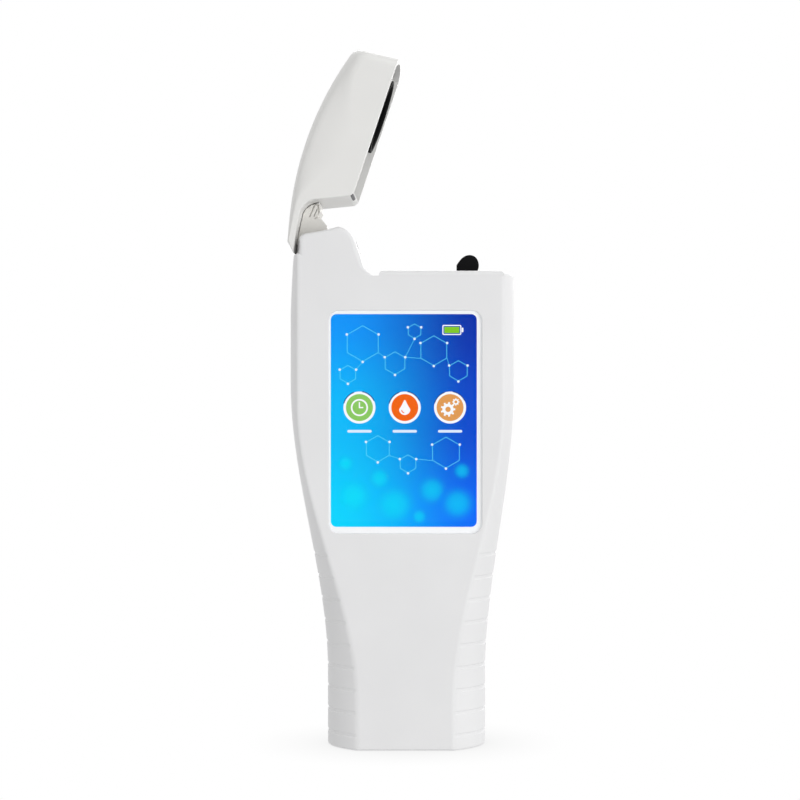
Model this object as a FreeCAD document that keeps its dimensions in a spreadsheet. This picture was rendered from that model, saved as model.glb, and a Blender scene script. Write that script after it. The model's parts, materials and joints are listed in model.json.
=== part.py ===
import FreeCAD, Part
import Sketcher
import math
import os
import re

V = FreeCAD.Vector
doc = FreeCAD.newDocument("FlipLidDetector")
sheet = doc.addObject("Spreadsheet::Sheet", "Sizes")

# Driving dimensions in millimetres. X runs to the right, the display faces -Y, and Z runs up from
# the middle of the flat base. "left" and "right" are as seen from the display side.
SIZES = [
    ("bodyDepth", 37.0, "front face to rear face"),
    ("wallThickness", 2.2, "moulded shell wall"),
    ("baseHalfWidth", 27.1, "half width of the grip at mid depth"),
    ("headLeftReach", 40.1, "head, hinge side, at mid depth"),
    ("headRightReach", 37.0, "head, swab side, at mid depth"),
    ("baseFaceHalf", 16.6, "half width of the flat front of the grip"),
    ("headFaceLeft", 36.0, "flat front of the head, hinge side"),
    ("headFaceRight", 33.2, "flat front of the head, swab side"),
    ("flareStart", 24.0, "height where the sides start to flare"),
    ("flareEnd", 122.0, "height where the flare ends"),
    ("faceFlareStart", 16.0, "same for the edge of the flat front"),
    ("faceFlareEnd", 116.0, "same for the edge of the flat front"),
    ("sidePower", 2.4, "how fast the side rounds off behind the front face"),
    ("edgeRound", 1.6, "rounding of the top edges"),
    ("baseTrim", 0.05, "the form runs this far below the base and is cut off flat"),
    ("bodyTop", 159.8, "top of the two shells beside the hump"),
    ("deckThickness", 1.7, "deck plate"),
    ("deckLeft", -8.9, "left end of the deck plate"),
    ("shoulderTop", 168.3, "ledge under the lid tail"),
    ("humpWallLeft", -36.2, "left wall of the hump at the ledge"),
    ("humpCrownX", -22.7, "highest point of the hump"),
    ("humpCrownTop", 176.4, "highest point of the hump"),
    ("humpFootX", -10.8, "foot of the hump on the shell top"),
    ("cheekGap", 16.4, "slot between the two hinge cheeks"),
    ("slotFloor", 163.2, "floor of the hinge slot"),
    ("slotEnd", 7.0, "right end of the hinge slot, left of the foot of the hump"),
    ("pivotX", -31.0, "lid hinge axis"),
    ("pivotZ", 168.6, "lid hinge axis"),
    ("pinRadius", 1.5, "hinge pin"),
    ("pinLength", 27.0, "hinge pin"),
    ("pinFit", 0.04, "radial clearance of the hinge pin in the arm"),
    ("pinSeatFit", 0.01, "radial clearance of the hinge pin in the cheeks"),
    ("openAngle", 71.5, "lid travel from shut to open"),
    ("lidGap", 0.3, "rim of the shut lid above the deck"),
    ("lidWall", 2.0, "lid wall"),
    ("lidTop", 184.0, "crown of the shut lid"),
    ("lidCrownX", 2.3, "crown of the shut lid"),
    ("lidTipX", 41.9, "far end of the shut lid at mid depth"),
    ("lidEndX", -9.6, "hinge end of the lid rim"),
    ("lidTailX", -33.2, "end of the lid tail"),
    ("lidTailTop", 178.0, "end of the lid tail"),
    ("lidTailUnder", 176.9, "underside of the lid tail above the hump"),
    ("lidBevel", 4.0, "how far the lid front is drawn in at the tip"),
    ("grooveCount", 9, "grip grooves on each side"),
    ("groovePitch", 7.6, "grip grooves"),
    ("grooveFirst", 4.9, "height of the lowest groove"),
    ("grooveWidth", 1.3, "grip grooves"),
    ("grooveDepth", 0.7, "grip grooves"),
    ("windowWidth", 51.4, "opening in front of the display"),
    ("windowHeight", 75.1, "opening in front of the display"),
    ("windowMidZ", 110.5, "middle of the display"),
    ("windowRadius", 3.5, "corner of the opening"),
    ("windowRecess", 1.1, "touch panel behind the front face"),
    ("panelWidth", 52.6, "touch panel"),
    ("panelCorner", 0.5, "corner of the seat of the touch panel"),
    ("panelLow", 72.2, "touch panel"),
    ("panelHigh", 150.6, "touch panel"),
    ("panelThickness", 1.1, "touch panel"),
    ("panelFit", 0.15, "clearance round the touch panel"),
    ("gasketThickness", 0.5, "foam frame behind the touch panel"),
    ("lcdWidth", 52.2, "3.5 inch display module"),
    ("lcdLow", 73.6, "3.5 inch display module"),
    ("lcdHigh", 151.6, "3.5 inch display module"),
    ("frameRim", 4.5, "display frame"),
    ("lcdThickness", 3.0, "3.5 inch display module"),
    ("frameDepth", 2.3, "display frame between module and board"),
    ("boardThickness", 1.6, "main board"),
    ("boardWidth", 54.0, "main board"),
    ("boardTop", 157.0, "main board"),
    ("boardBottom", 69.5, "main board"),
    ("tabHalf", 15.5, "lower tab of the main board"),
    ("tabBottom", 62.0, "lower tab of the main board"),
    ("postRadius", 2.4, "board post"),
    ("postTopX", 22.0, "upper board posts"),
    ("postTopZ", 154.4, "upper board posts"),
    ("postLowX", 12.0, "lower board posts"),
    ("postLowZ", 66.0, "lower board posts"),
    ("bossRadius", 2.2, "case screw boss"),
    ("bossHeadX", 31.0, "upper case screws"),
    ("bossHeadZ", 151.0, "upper case screws"),
    ("bossGripX", 21.0, "middle case screws"),
    ("bossGripZ", 64.0, "middle case screws"),
    ("bossBaseX", 13.5, "lower case screws"),
    ("bossBaseZ", 8.0, "lower case screws"),
    ("screwRadius", 1.0, "case screw shank"),
    ("screwHeadRadius", 1.8, "case screw head"),
    ("screwHeadHeight", 1.5, "case screw head"),
    ("screwSink", 4.0, "depth of the screw recess in the rear face"),
    ("screwCup", 1.2, "wall round the screw recess"),
    ("boardScrewLength", 5.0, "shank of the screws of the main board"),
    ("screwFit", 0.1, "radial clearance round a screw"),
    ("threadFit", 0.02, "radial clearance of a screw in its thread"),
    ("caseScrewReach", 8.0, "case screw in the front boss"),
    ("wellX", 21.0, "axis of the swab well"),
    ("wellY", 3.0, "axis of the swab well"),
    ("wellRadius", 6.3, "bore for the swab tube"),
    ("holderWall", 1.1, "swab holder"),
    ("holderFloor", 1.5, "swab holder"),
    ("holderFit", 0.2, "radial clearance round the swab holder"),
    ("collarGap", 1.6, "light shroud round the collar of the swab holder"),
    ("collarHeight", 1.2, "collar of the swab holder"),
    ("lugWidth", 7.6, "pull lug of the swab holder"),
    ("lugThickness", 2.6, "pull lug of the swab holder"),
    ("lugHeight", 6.1, "pull lug above the collar"),
    ("lugInset", 0.7, "front of the pull lug behind the front of the collar"),
    ("lightSlot", 5.0, "width of the light slot in the swab holder"),
    ("lightSlotHeight", 8.0, "light slot in the swab holder"),
    ("sealHeight", 2.0, "rubber ring under the deck"),
    ("sealRadius", 9.6, "rubber ring under the deck"),
    ("sealFit", 0.05, "radial clearance round the rubber ring"),
    ("chamberRadius", 9.4, "detection chamber round the swab holder"),
    ("chamberBottom", 78.0, "detection chamber"),
    ("chamberHeight", 22.0, "detection chamber"),
    ("chamberFloor", 2.2, "floor of the detection chamber"),
    ("chamberSnout", 19.0, "detection chamber, from the well axis to the detector board"),
    ("snoutHalfWidth", 6.0, "snout of the chamber"),
    ("detectorRadius", 4.6, "photodetector can"),
    ("detectorLength", 4.0, "photodetector can"),
    ("portRadius", 3.0, "light port"),
    ("lensRadius", 3.8, "port window"),
    ("lensThickness", 1.0, "port window"),
    ("lensFit", 0.1, "clearance round the detector and the port window"),
    ("snoutHeight", 16.0, "snout and foot of the chamber"),
    ("footLeft", 7.0, "foot of the chamber on the rear shell"),
    ("footRight", 4.0, "foot of the chamber on the rear shell"),
    ("chamberPortRise", 10.0, "axis of the detector above the chamber bottom"),
    ("holderSeatGap", 0.3, "swab holder above the floor of the chamber"),
    ("detectorBoardHalf", 7.0, "detector board"),
    ("detectorBoardHeight", 19.0, "detector board"),
    ("canDepth", 3.5, "shield can of the detector board"),
    ("canHalf", 5.0, "shield can of the detector board"),
    ("canHeight", 16.0, "shield can of the detector board"),
    ("canWall", 0.4, "shield can of the detector board"),
    ("ribbonLead", 0.85, "ribbon in front of the detector board"),
    ("ribbonWidth", 8.0, "detector ribbon"),
    ("ribbonThickness", 0.3, "detector ribbon"),
    ("ribbonSocketWidth", 4.5, "ribbon socket"),
    ("ribbonSocketHeight", 1.8, "ribbon socket"),
    ("shieldX", -11.0, "shield over the processor"),
    ("shieldZ", 119.0, "shield over the processor"),
    ("shieldWidth", 22.0, "shield over the processor"),
    ("shieldHeight", 2.5, "shield over the processor"),
    ("buzzerRadius", 4.5, "buzzer"),
    ("buzzerHeight", 3.2, "buzzer"),
    ("buzzerX", -16.0, "buzzer"),
    ("buzzerZ", 95.0, "buzzer"),
    ("cellRadius", 6.2, "cell of the clock"),
    ("cellHeight", 2.2, "cell of the clock"),
    ("cellX", -14.0, "cell of the clock"),
    ("cellZ", 78.0, "cell of the clock"),
    ("smallBoard", 1.2, "thickness of the small boards"),
    ("batteryWidth", 34.0, "battery pack"),
    ("batteryHeight", 49.0, "battery pack"),
    ("batteryDepth", 9.0, "battery pack"),
    ("batteryBottom", 19.0, "battery pack"),
    ("tapeThickness", 0.5, "tape that holds the battery"),
    ("keyLength", 14.0, "power key along Z"),
    ("keyWidth", 6.0, "power key along Y"),
    ("keyY", 5.5, "middle of the power key"),
    ("keyZ", 128.0, "middle of the power key"),
    ("keyRecess", 0.35, "power key below the side of the case"),
    ("keyFit", 0.25, "clearance round the power key"),
    ("keyTravel", 0.6, "power key"),
    ("keyFlange", 1.0, "thickness of the rim that keeps the key in the case"),
    ("keyRim", 0.8, "how far that rim stands out round the key"),
    ("keySeatGap", 0.2, "rim of the key behind the wall of the case"),
    ("switchBody", 6.0, "power switch, square"),
    ("switchDepth", 2.4, "power switch"),
    ("plungerRadius", 1.6, "plunger of the power switch"),
    ("plungerLength", 1.8, "plunger of the power switch"),
    ("plungerFit", 0.15, "radial clearance of the plunger"),
    ("plungerGap", 0.3, "pressed key in front of the switch"),
    ("keyRibSpan", 3.5, "ribs beside the key, from its ends to the middle of the rib"),
    ("keyRibThickness", 2.5, "ribs that carry the switch board"),
    ("keyRibLeft", -37.5, "ribs that carry the switch board"),
    ("keyRibRight", -31.0, "ribs that carry the switch board"),
    ("switchBoardFront", 1.2, "switch board"),
    ("switchBoardRear", 13.0, "switch board"),
    ("usbWidth", 9.0, "charging socket"),
    ("usbDepth", 3.2, "charging socket"),
    ("usbLength", 7.3, "charging socket"),
    ("usbFit", 0.3, "clearance round the charging socket"),
    ("usbY", 4.8, "middle of the charging socket"),
    ("usbSink", 0.4, "mouth of the charging socket inside the base"),
    ("usbShell", 0.4, "metal of the charging socket"),
    ("usbTongue", 0.7, "tongue of the charging socket"),
    ("chargeWidth", 19.0, "charging board"),
    ("chargeTop", 18.0, "charging board"),
    ("chargeGap", 0.3, "charging board above the inside of the base"),
    ("standRadius", 1.8, "posts of the charging board"),
    ("standX", 7.0, "posts of the charging board"),
    ("standZ", 13.5, "posts of the charging board"),
    ("shroudGap", 0.5, "between the light shroud and the rear wall of the lid"),
    ("shroudWall", 1.4, "black light shroud in the lid"),
    ("foamHeight", 1.5, "foam ring on the light shroud"),
    ("deckRound", 1.0, "rounded rim of the deck plate"),
    ("washerThickness", 0.5, "friction washer"),
    ("washerRadius", 3.6, "friction washer"),
    ("washerGap", 0.05, "clearance on each side of a friction washer"),
    ("barrelRadius", 4.2, "barrel of the hinge arm"),
    ("armHook", 10.0, "bent end of the hinge arm"),
    ("armGap", 0.75, "hinge arm below the lid tail above the pin"),
    ("armScrewRise", 11.7, "screws of the hinge arm above the rim of the lid"),
    ("armScrewSeat", 2.0, "heads of those screws behind the end of the lid"),
    ("armScrewSpread", 4.0, "half the distance between those screws"),
    ("armScrewLength", 5.0, "shank of those screws"),
]
for row, (alias, value, note) in enumerate(SIZES, 1):
    sheet.set("A%d" % row, alias)
    sheet.set("B%d" % row, "%g" % value)
    sheet.set("C%d" % row, note)
    sheet.setAlias("B%d" % row, alias)
doc.recompute()

ALIASES = set(alias for alias, value, note in SIZES)


def bound(text):
    """An expression on the sheet, written with bare aliases."""
    return re.sub(r"[A-Za-z]\w*", lambda m: "Sizes." + m[0] if m[0] in ALIASES else m[0], str(text))


def num(text):
    return float(sheet.evalExpression(bound(text)))


def size(alias):
    return float(sheet.get(alias))


nodes = []


def node(obj, label):
    """Marks a finished sub-part; its label names its file."""
    obj.Label = label
    nodes.append(obj)
    return obj


def box(name, xs, ys, zs):
    """A block between pairs of expressions."""
    obj = doc.addObject("Part::Box", name)
    for prop, axis, (low, high) in zip(("Length", "Width", "Height"), "xyz", (xs, ys, zs)):
        obj.setExpression(prop, bound("(%s) - (%s)" % (high, low)))
        obj.setExpression("Placement.Base." + axis, bound(low))
    return obj


TURN = {"x": FreeCAD.Rotation(V(0, 1, 0), 90), "y": FreeCAD.Rotation(V(1, 0, 0), -90), "z": FreeCAD.Rotation()}


def rod(name, radius, start, length, axis="z"):
    """A cylinder from a start point along +X, +Y or +Z."""
    obj = doc.addObject("Part::Cylinder", name)
    obj.Placement = FreeCAD.Placement(V(), TURN[axis])
    obj.setExpression("Radius", bound(radius))
    obj.setExpression("Height", bound(length))
    for letter, text in zip("xyz", start):
        obj.setExpression("Placement.Base." + letter, bound(text))
    return obj


def prism(name, radius, start, length, sides, axis="z"):
    """A regular prism with its corners at the radius, from a start point along +Y or +Z."""
    obj = doc.addObject("Part::Prism", name)
    obj.Polygon = sides
    obj.Placement = FreeCAD.Placement(V(), TURN[axis].multiply(FreeCAD.Rotation(V(0, 0, 1), 180.0 / sides)))
    obj.setExpression("Circumradius", bound(radius))
    obj.setExpression("Height", bound(length))
    for letter, text in zip("xyz", start):
        obj.setExpression("Placement.Base." + letter, bound(text))
    return obj


def fuse(name, parts):
    obj = doc.addObject("Part::MultiFuse", name)
    obj.Shapes = parts
    return obj


def cut(name, base, tools):
    obj = doc.addObject("Part::Cut", name)
    obj.Base = base
    obj.Tool = tools[0] if len(tools) == 1 else fuse(name + "Tools", tools)
    return obj


def body(name):
    return doc.addObject("PartDesign::Body", name)


def sketchOn(owner, plane, name, offset="0"):
    """A sketch on one of the body's origin planes, moved along the plane's normal."""
    sk = owner.newObject("Sketcher::SketchObject", name)
    origin = [f for f in owner.Origin.OriginFeatures if f.Role == plane][0]
    sk.AttachmentSupport = [(origin, "")]
    sk.MapMode = "FlatFace"
    sk.setExpression("AttachmentOffset.Base.z", bound(offset))
    return sk


def outline(sk, points):
    """A closed polygon whose corners are bound to the sheet."""
    corners = [V(num(a), num(b), 0) for a, b in points]
    first = sk.GeometryCount
    for start, end in zip(corners, corners[1:] + corners[:1]):
        sk.addGeometry(Part.LineSegment(start, end), False)
    for i in range(len(corners)):
        sk.addConstraint(Sketcher.Constraint("Coincident", first + i, 2, first + (i + 1) % len(corners), 1))
    for i, (a, b) in enumerate(points):
        for kind, text in (("DistanceX", a), ("DistanceY", b)):
            index = sk.addConstraint(Sketcher.Constraint(kind, -1, 1, first + i, 1, num(text)))
            sk.setExpression("Constraints[%d]" % index, bound(text))
    return sk


def ring(sk, radius, at=("0", "0")):
    """A circle bound to the sheet."""
    index = sk.addGeometry(Part.Circle(V(num(at[0]), num(at[1]), 0), V(0, 0, 1), num(radius)), False)
    limits = [("Radius", (index,), radius), ("DistanceX", (-1, 1, index, 3), at[0]),
              ("DistanceY", (-1, 1, index, 3), at[1])]
    for kind, refs, text in limits:
        spot = sk.addConstraint(Sketcher.Constraint(kind, *refs, num(text)))
        sk.setExpression("Constraints[%d]" % spot, bound(text))
    return sk


def pad(owner, sk, length, name):
    feature = owner.newObject("PartDesign::Pad", name)
    feature.Profile = sk
    feature.setExpression("Length", bound(length))
    sk.Visibility = False
    return feature


def revolve(owner, sk, name, axis="V_Axis"):
    feature = owner.newObject("PartDesign::Revolution", name)
    feature.Profile = sk
    feature.ReferenceAxis = (sk, [axis])
    feature.Angle = 360
    return feature


def shaped(label, shape):
    obj = doc.addObject("Part::Feature", label)
    obj.Shape = shape
    return node(obj, label)


# The case. Its outline changes with the depth d behind the front face, from the edge of the flat
# front to the widest line at mid depth, and the rear half mirrors the front half.
halfDepth = size("bodyDepth") / 2
wall = size("wallThickness")
STATIONS = (0.0, 0.11, 0.22, 0.33, 0.44, 0.55, 0.66, 0.77, 0.88, 1.0)
DEPTHS = (0.0, 0.08, 0.24, 0.5, 1.0)
LID_DEPTHS = (0.0, 0.05, 0.13, 0.28, 0.5, 1.0)
FORM_DEPTHS = (0.0, 0.025, 0.0865, 0.24, 0.45, 0.7, 1.0)
CORE_DEPTHS = (0.0, 0.12, 0.4, 1.0)
# Outline of the hump: the slope down to the deck as steps left of the foot and up from the shell top
# or down from the crown, the roof as steps from the crown, and the corner as steps from the left wall.
HUMP_SLOPE = ((0.0, "base", 0.0), (2.9, "base", 2.6), (4.5, "crown", -9.8), (5.8, "crown", -6.3),
              (7.4, "crown", -2.6), (9.6, "crown", -0.7))
HUMP_ROOF = ((3.4, 0.9), (11.0, 2.3))
HUMP_CORNER = ((1.3, 3.2), (0.8, 4.6))


def ease(z, start, end):
    t = min(max((z - start) / (end - start), 0.0), 1.0)
    return t * t * (3 - 2 * t)


def reach(side, z, d):
    """Half width of the case at height z and depth d; side is -1 for the hinge side, 1 for the other."""
    head, face = ("headLeftReach", "headFaceLeft") if side < 0 else ("headRightReach", "headFaceRight")
    wide = size("baseHalfWidth")
    wide += (size(head) - wide) * ease(z, size("flareStart"), size("flareEnd"))
    flat = size("baseFaceHalf")
    flat += (size(face) - flat) * ease(z, size("faceFlareStart"), size("faceFlareEnd"))
    return wide - (wide - flat) * (1 - d / halfDepth) ** size("sidePower")


def sideEdge(side, low, high, d):
    """One side of the outline as a smooth curve from low to high."""
    heights = [low + (high - low) * s for s in STATIONS]
    curve = Part.BSplineCurve()
    curve.interpolate([V(side * reach(side, z, d), d - halfDepth, z) for z in heights])
    return curve.toShape()


def smooth(points):
    curve = Part.BSplineCurve()
    curve.interpolate(points)
    return curve.toShape()


def line(a, b):
    return Part.LineSegment(a, b).toShape()


def core(skin, steps):
    """Front half of the case without the hump, drawn in by skin on every side, in straight steps."""
    low, high = skin, size("bodyTop") - skin
    heights = [low + (high - low) * step / steps for step in range(steps + 1)]
    wires = []
    for share in CORE_DEPTHS:
        d = skin + (halfDepth - skin) * share
        right = [V(reach(1, z, d) - skin, d - halfDepth, z) for z in heights]
        left = [V(skin - reach(-1, z, d), d - halfDepth, z) for z in reversed(heights)]
        wires.append(Part.makePolygon(right + left + right[:1]))
    return Part.makeLoft(wires, True, True)


def caseForm():
    """Front half of the case with the hinge hump."""
    base, crown, shoulder = size("bodyTop"), size("humpCrownTop"), size("shoulderTop")
    crownX, wallX, footX = size("humpCrownX"), size("humpWallLeft"), size("humpFootX")
    level = {"base": base, "crown": crown}
    slope = [(footX - a, level[start] + b) for a, start, b in HUMP_SLOPE] + [(crownX, crown)]
    roof = [(crownX, crown)] + [(crownX - a, crown - b) for a, b in HUMP_ROOF]
    corner = [roof[-1]] + [(wallX + a, crown - b) for a, b in HUMP_CORNER]
    middle = V(crownX, 0, (shoulder + base) / 2)
    below = -size("baseTrim")
    edge = size("edgeRound")
    wires = []
    for share in FORM_DEPTHS:
        d = halfDepth * share
        drawn = edge - math.sqrt(edge ** 2 - max(0.0, edge - d) ** 2)

        def place(point):
            spot = V(point[0], 0, point[1])
            inward = (middle - spot).normalize() * drawn
            return V(spot.x + inward.x, d - halfDepth, spot.z + inward.z)

        right = sideEdge(1, below, base - drawn, d)
        left = sideEdge(-1, below, shoulder - drawn, d)
        rise = [place(p) for p in slope]
        rise[0].z = base - drawn
        crest = [place(p) for p in roof]
        turn = [place(p) for p in corner]
        ledge = V(wallX + drawn, d - halfDepth, shoulder - drawn)
        edges = [line(left.Vertexes[0].Point, right.Vertexes[0].Point), right,
                 line(right.Vertexes[-1].Point, rise[0]), smooth(rise), smooth(crest), smooth(turn),
                 line(turn[-1], ledge), line(ledge, left.Vertexes[-1].Point), left]
        wires.append(Part.Wire(edges))
    form = Part.makeLoft(wires, True, True)
    span = 2 * size("headLeftReach")
    return form.cut(block(-span, span, -span, span, -span, 0))


def block(x1, x2, y1, y2, z1, z2):
    return Part.makeBox(x2 - x1, y2 - y1, z2 - z1, V(x1, y1, z1))


def bar(radius, start, direction, length):
    return Part.makeCylinder(radius, length, V(*start), V(*direction))


def pillar(radius, start, direction, length, sides=8):
    """A prism with its corners at the radius; bosses, pilot holes and screw shanks are eight-sided."""
    axis = V(*direction)
    across = V(0, 0, 1) if abs(axis.z) < 0.5 else V(1, 0, 0)
    other = axis.cross(across)
    corners = []
    for i in range(sides):
        angle = 2 * math.pi * (i + 0.5) / sides
        corners.append(V(*start) + across * (radius * math.cos(angle)) + other * (radius * math.sin(angle)))
    return Part.Face(Part.makePolygon(corners + corners[:1])).extrude(axis * length)


def fusedAll(first, rest):
    return first.multiFuse(rest).removeSplitter() if rest else first


def grooves(side):
    """Cutters for the grip grooves: slabs outside the flat front, down to the groove depth."""
    width = size("grooveWidth")
    slabs = []
    for i in range(int(size("grooveCount"))):
        z = size("grooveFirst") + i * size("groovePitch")
        inner = reach(side, z, 0) + width
        outer = reach(side, z, halfDepth) + width
        low, high = sorted((side * inner, side * outer))
        slabs.append(block(low, high, -halfDepth - 1, 0, z - width / 2, z + width / 2))
    return slabs


deckTop = size("bodyTop") + size("deckThickness")
shroudRadius = halfDepth - size("lidWall") - size("wellY") - size("shroudGap")
collarRadius = shroudRadius - size("shroudWall") - size("collarGap")
SEAL_SIDES, HEAD_SIDES, WASHER_SIDES, FOAM_SIDES = 12, 16, 24, 32
bossSpots = []
for xName, zName in (("bossHeadX", "bossHeadZ"), ("bossGripX", "bossGripZ"), ("bossBaseX", "bossBaseZ")):
    bossSpots += [(-size(xName), size(zName)), (size(xName), size(zName))]
postSpots = [(s * size("postTopX"), size("postTopZ")) for s in (-1, 1)]
postSpots += [(s * size("postLowX"), size("postLowZ")) for s in (-1, 1)]
boardFront = -halfDepth + size("windowRecess") + size("panelThickness") + size("gasketThickness")
boardFront += size("lcdThickness") + size("frameDepth")


def roundedBlock(width, low, high, radius, y1, y2):
    """A plate of the display stack."""
    plate = block(-width / 2, width / 2, y1, y2, low, high)
    upright = [e for e in plate.Edges if abs(e.Vertexes[0].Y - e.Vertexes[-1].Y) > 0.9 * (y2 - y1)]
    return plate.makeFillet(radius, upright)


def hingeSlot():
    gap = size("cheekGap") / 2
    top = 2 * size("humpCrownTop")
    low = block(size("humpWallLeft") + 0.5, size("humpFootX") - size("slotEnd"), -gap, gap, size("slotFloor"), top)
    high = block(-2 * size("headLeftReach"), size("humpFootX") + 4, -gap, gap, size("shoulderTop"), top)
    return low.fuse(high)


def pinHole():
    reachY = size("pinLength") / 2
    spot = (size("pivotX"), -reachY, size("pivotZ"))
    return bar(size("pinRadius") + size("pinSeatFit"), spot, (0, 1, 0), 2 * reachY)


def wellHole():
    spot = (size("wellX"), size("wellY"), size("bodyTop") - 2 * wall)
    return pillar(size("sealRadius"), spot, (0, 0, 1), 3 * wall, SEAL_SIDES)


grooveCore = core(size("grooveDepth"), 20)
cavity = core(wall, 8)
midWall = core(wall / 2, 8)
case = caseForm()
skinCut = [cutter.cut(grooveCore) for side in (-1, 1) for cutter in grooves(side)]
caseHalf = case.cut(cavity)


def frontShell():
    inner = -halfDepth + wall
    bosses = [pillar(size("bossRadius"), (x, inner - 0.5, z), (0, 1, 0), -inner + 0.5) for x, z in bossSpots]
    posts = [pillar(size("postRadius"), (x, inner - 0.5, z), (0, 1, 0), boardFront - inner + 0.5)
             for x, z in postSpots]
    inside = fusedAll(caseHalf, [b.common(midWall) for b in bosses + posts])
    pilots = [pillar(size("screwRadius") + size("threadFit"), (x, -size("caseScrewReach") - 1, z), (0, 1, 0),
                     halfDepth) for x, z in bossSpots]
    pilots += [pillar(size("screwRadius") + size("threadFit"), (x, inner + 0.6, z), (0, 1, 0), halfDepth)
               for x, z in postSpots]
    middle, half = size("windowMidZ"), size("windowHeight") / 2
    window = roundedBlock(size("windowWidth"), middle - half, middle + half, size("windowRadius"),
                          -halfDepth - 1, 0)
    fit = size("panelFit")
    seat = roundedBlock(size("panelWidth") + 2 * fit, size("panelLow") - fit, size("panelHigh") + fit,
                        size("panelCorner"), -halfDepth + size("windowRecess"), inner + 1)
    return inside.cut(pilots + [window, seat, hingeSlot(), pinHole(), wellHole()] + skinCut)


shaped("front_shell", frontShell())


def rearShell():
    mirrored = caseHalf.mirror(V(0, 0, 0), V(0, 1, 0))
    rearWall = midWall.mirror(V(0, 0, 0), V(0, 1, 0))
    inner = halfDepth - wall
    bosses = [pillar(size("bossRadius"), (x, 0, z), (0, 1, 0), inner + 0.5) for x, z in bossSpots]
    cup = size("screwCup")
    sockets = [pillar(size("screwHeadRadius") + cup, (x, halfDepth - size("screwSink") - cup, z), (0, 1, 0),
                      size("screwSink")) for x, z in bossSpots]
    ribReach, ribHalf = size("keyLength") / 2 + size("keyRibSpan"), size("keyRibThickness") / 2
    ribs = [block(size("keyRibLeft"), size("keyRibRight"), 1.0, inner + 0.5, z - ribHalf, z + ribHalf)
            for z in (size("keyZ") - ribReach, size("keyZ") + ribReach)]
    boardBack = size("usbY") - size("usbDepth") / 2
    stands = [pillar(size("standRadius"), (x, boardBack, size("standZ")), (0, 1, 0), inner + 0.5 - boardBack)
              for x in (-size("standX"), size("standX"))]
    shell = fusedAll(mirrored, [b.common(rearWall) for b in bosses + sockets + ribs + stands])
    holes = [pillar(size("screwRadius") + size("screwFit"), (x, -wall, z), (0, 1, 0), 2 * halfDepth)
             for x, z in bossSpots]
    holes += [pillar(size("screwHeadRadius") + size("screwFit"), (x, halfDepth - size("screwSink"), z),
                     (0, 1, 0), 2 * size("screwSink"), HEAD_SIDES) for x, z in bossSpots]
    fit, keyHalf = size("keyFit"), size("keyWidth") / 2
    holes.append(block(-2 * size("headLeftReach"), size("keyRibRight"), size("keyY") - keyHalf - fit,
                       size("keyY") + keyHalf + fit, size("keyZ") - size("keyLength") / 2 - fit,
                       size("keyZ") + size("keyLength") / 2 + fit))
    gap = size("usbFit")
    holes.append(block(-size("usbWidth") / 2 - gap, size("usbWidth") / 2 + gap,
                       boardBack - gap, size("usbY") + size("usbDepth") / 2 + gap, -wall, 2 * wall))
    rearGrooves = [g.mirror(V(0, 0, 0), V(0, 1, 0)) for g in skinCut]
    return shell.cut(holes + [hingeSlot(), pinHole(), wellHole()] + rearGrooves)


shaped("rear_shell", rearShell())


def deckPlate():
    """The plate that closes the top of the case beside the hump, with the seat of the swab holder."""
    z, left, edge = size("bodyTop"), size("deckLeft"), size("deckRound")
    wires = []
    for lift, drawn in ((0.0, 0.0), (deckTop - z - edge, 0.0), (deckTop - z - 0.5 * edge, 0.134 * edge),
                        (deckTop - z - 0.134 * edge, 0.5 * edge), (deckTop - z, edge)):
        front = [V(reach(1, z, halfDepth * f) - drawn, (halfDepth - drawn) * (f - 1), z + lift) for f in DEPTHS]
        rear = [V(p.x, -p.y, z + lift) for p in front[:-1]][::-1]
        corners = [V(left, -halfDepth + drawn, z + lift), V(left, halfDepth - drawn, z + lift)]
        wires.append(Part.Wire([line(corners[0], front[0]), smooth(front + rear), line(rear[-1], corners[1]),
                                line(corners[1], corners[0])]))
    plate = Part.makeLoft(wires, True, True)
    hole = size("wellRadius") + size("holderWall") + size("holderFit")
    tools = [bar(hole, (size("wellX"), size("wellY"), z - 1), (0, 0, 1), wall + size("deckThickness")),
             bar(collarRadius + size("holderFit"),
                 (size("wellX"), size("wellY"), deckTop - size("collarHeight")), (0, 0, 1), wall)]
    return plate.cut(tools)


shaped("deck_plate", deckPlate())


# The lid is drawn shut and then turned back to the open pose of the rest position.
openTurn = FreeCAD.Placement(V(), FreeCAD.Rotation(V(0, 1, 0), -size("openAngle")),
                             V(size("pivotX"), 0, size("pivotZ")))
rim = deckTop + size("lidGap")


def arcThrough(a, b, c):
    return Part.Arc(a, b, c).toShape()


def lidSection(d):
    """Outline of the lid at depth d behind its front face."""
    g = size("lidBevel") * (1 - d / halfDepth) ** size("sidePower")
    y, tip, top, end = d - halfDepth, size("lidTipX"), size("lidTop"), size("lidEndX")
    tail, under = size("lidTailX"), size("lidTailUnder")
    heel = V(tail, y, under - 1.0)
    nape = V(tail + 0.5, y, size("lidTailTop") - 0.2 * g)
    crown = V(size("lidCrownX"), y, top - 0.9 * g)
    brow = V(tip - 4.9 - 0.8 * g, y, top - 5.1 - 0.9 * g)
    bend = V(tip - 2.6 - 0.83 * g, y, top - 6.7 - 0.8 * g)
    chin = V(tip - 1.5 - 0.85 * g, y, top - 9.4 - 0.65 * g)
    lip = V(tip - g, y, rim)
    foot = V(end, y, rim)
    knee = V(end - 4.7, y, rim + 10.4)
    hollow = V(end - 6.4, y, rim + 13.3)
    neck = V(end - 10.4, y, under)
    return Part.Wire([line(heel, nape), arcThrough(nape, crown, brow), arcThrough(brow, bend, chin),
                      line(chin, lip), line(lip, foot), line(foot, knee), arcThrough(knee, hollow, neck),
                      line(neck, heel)])


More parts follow.
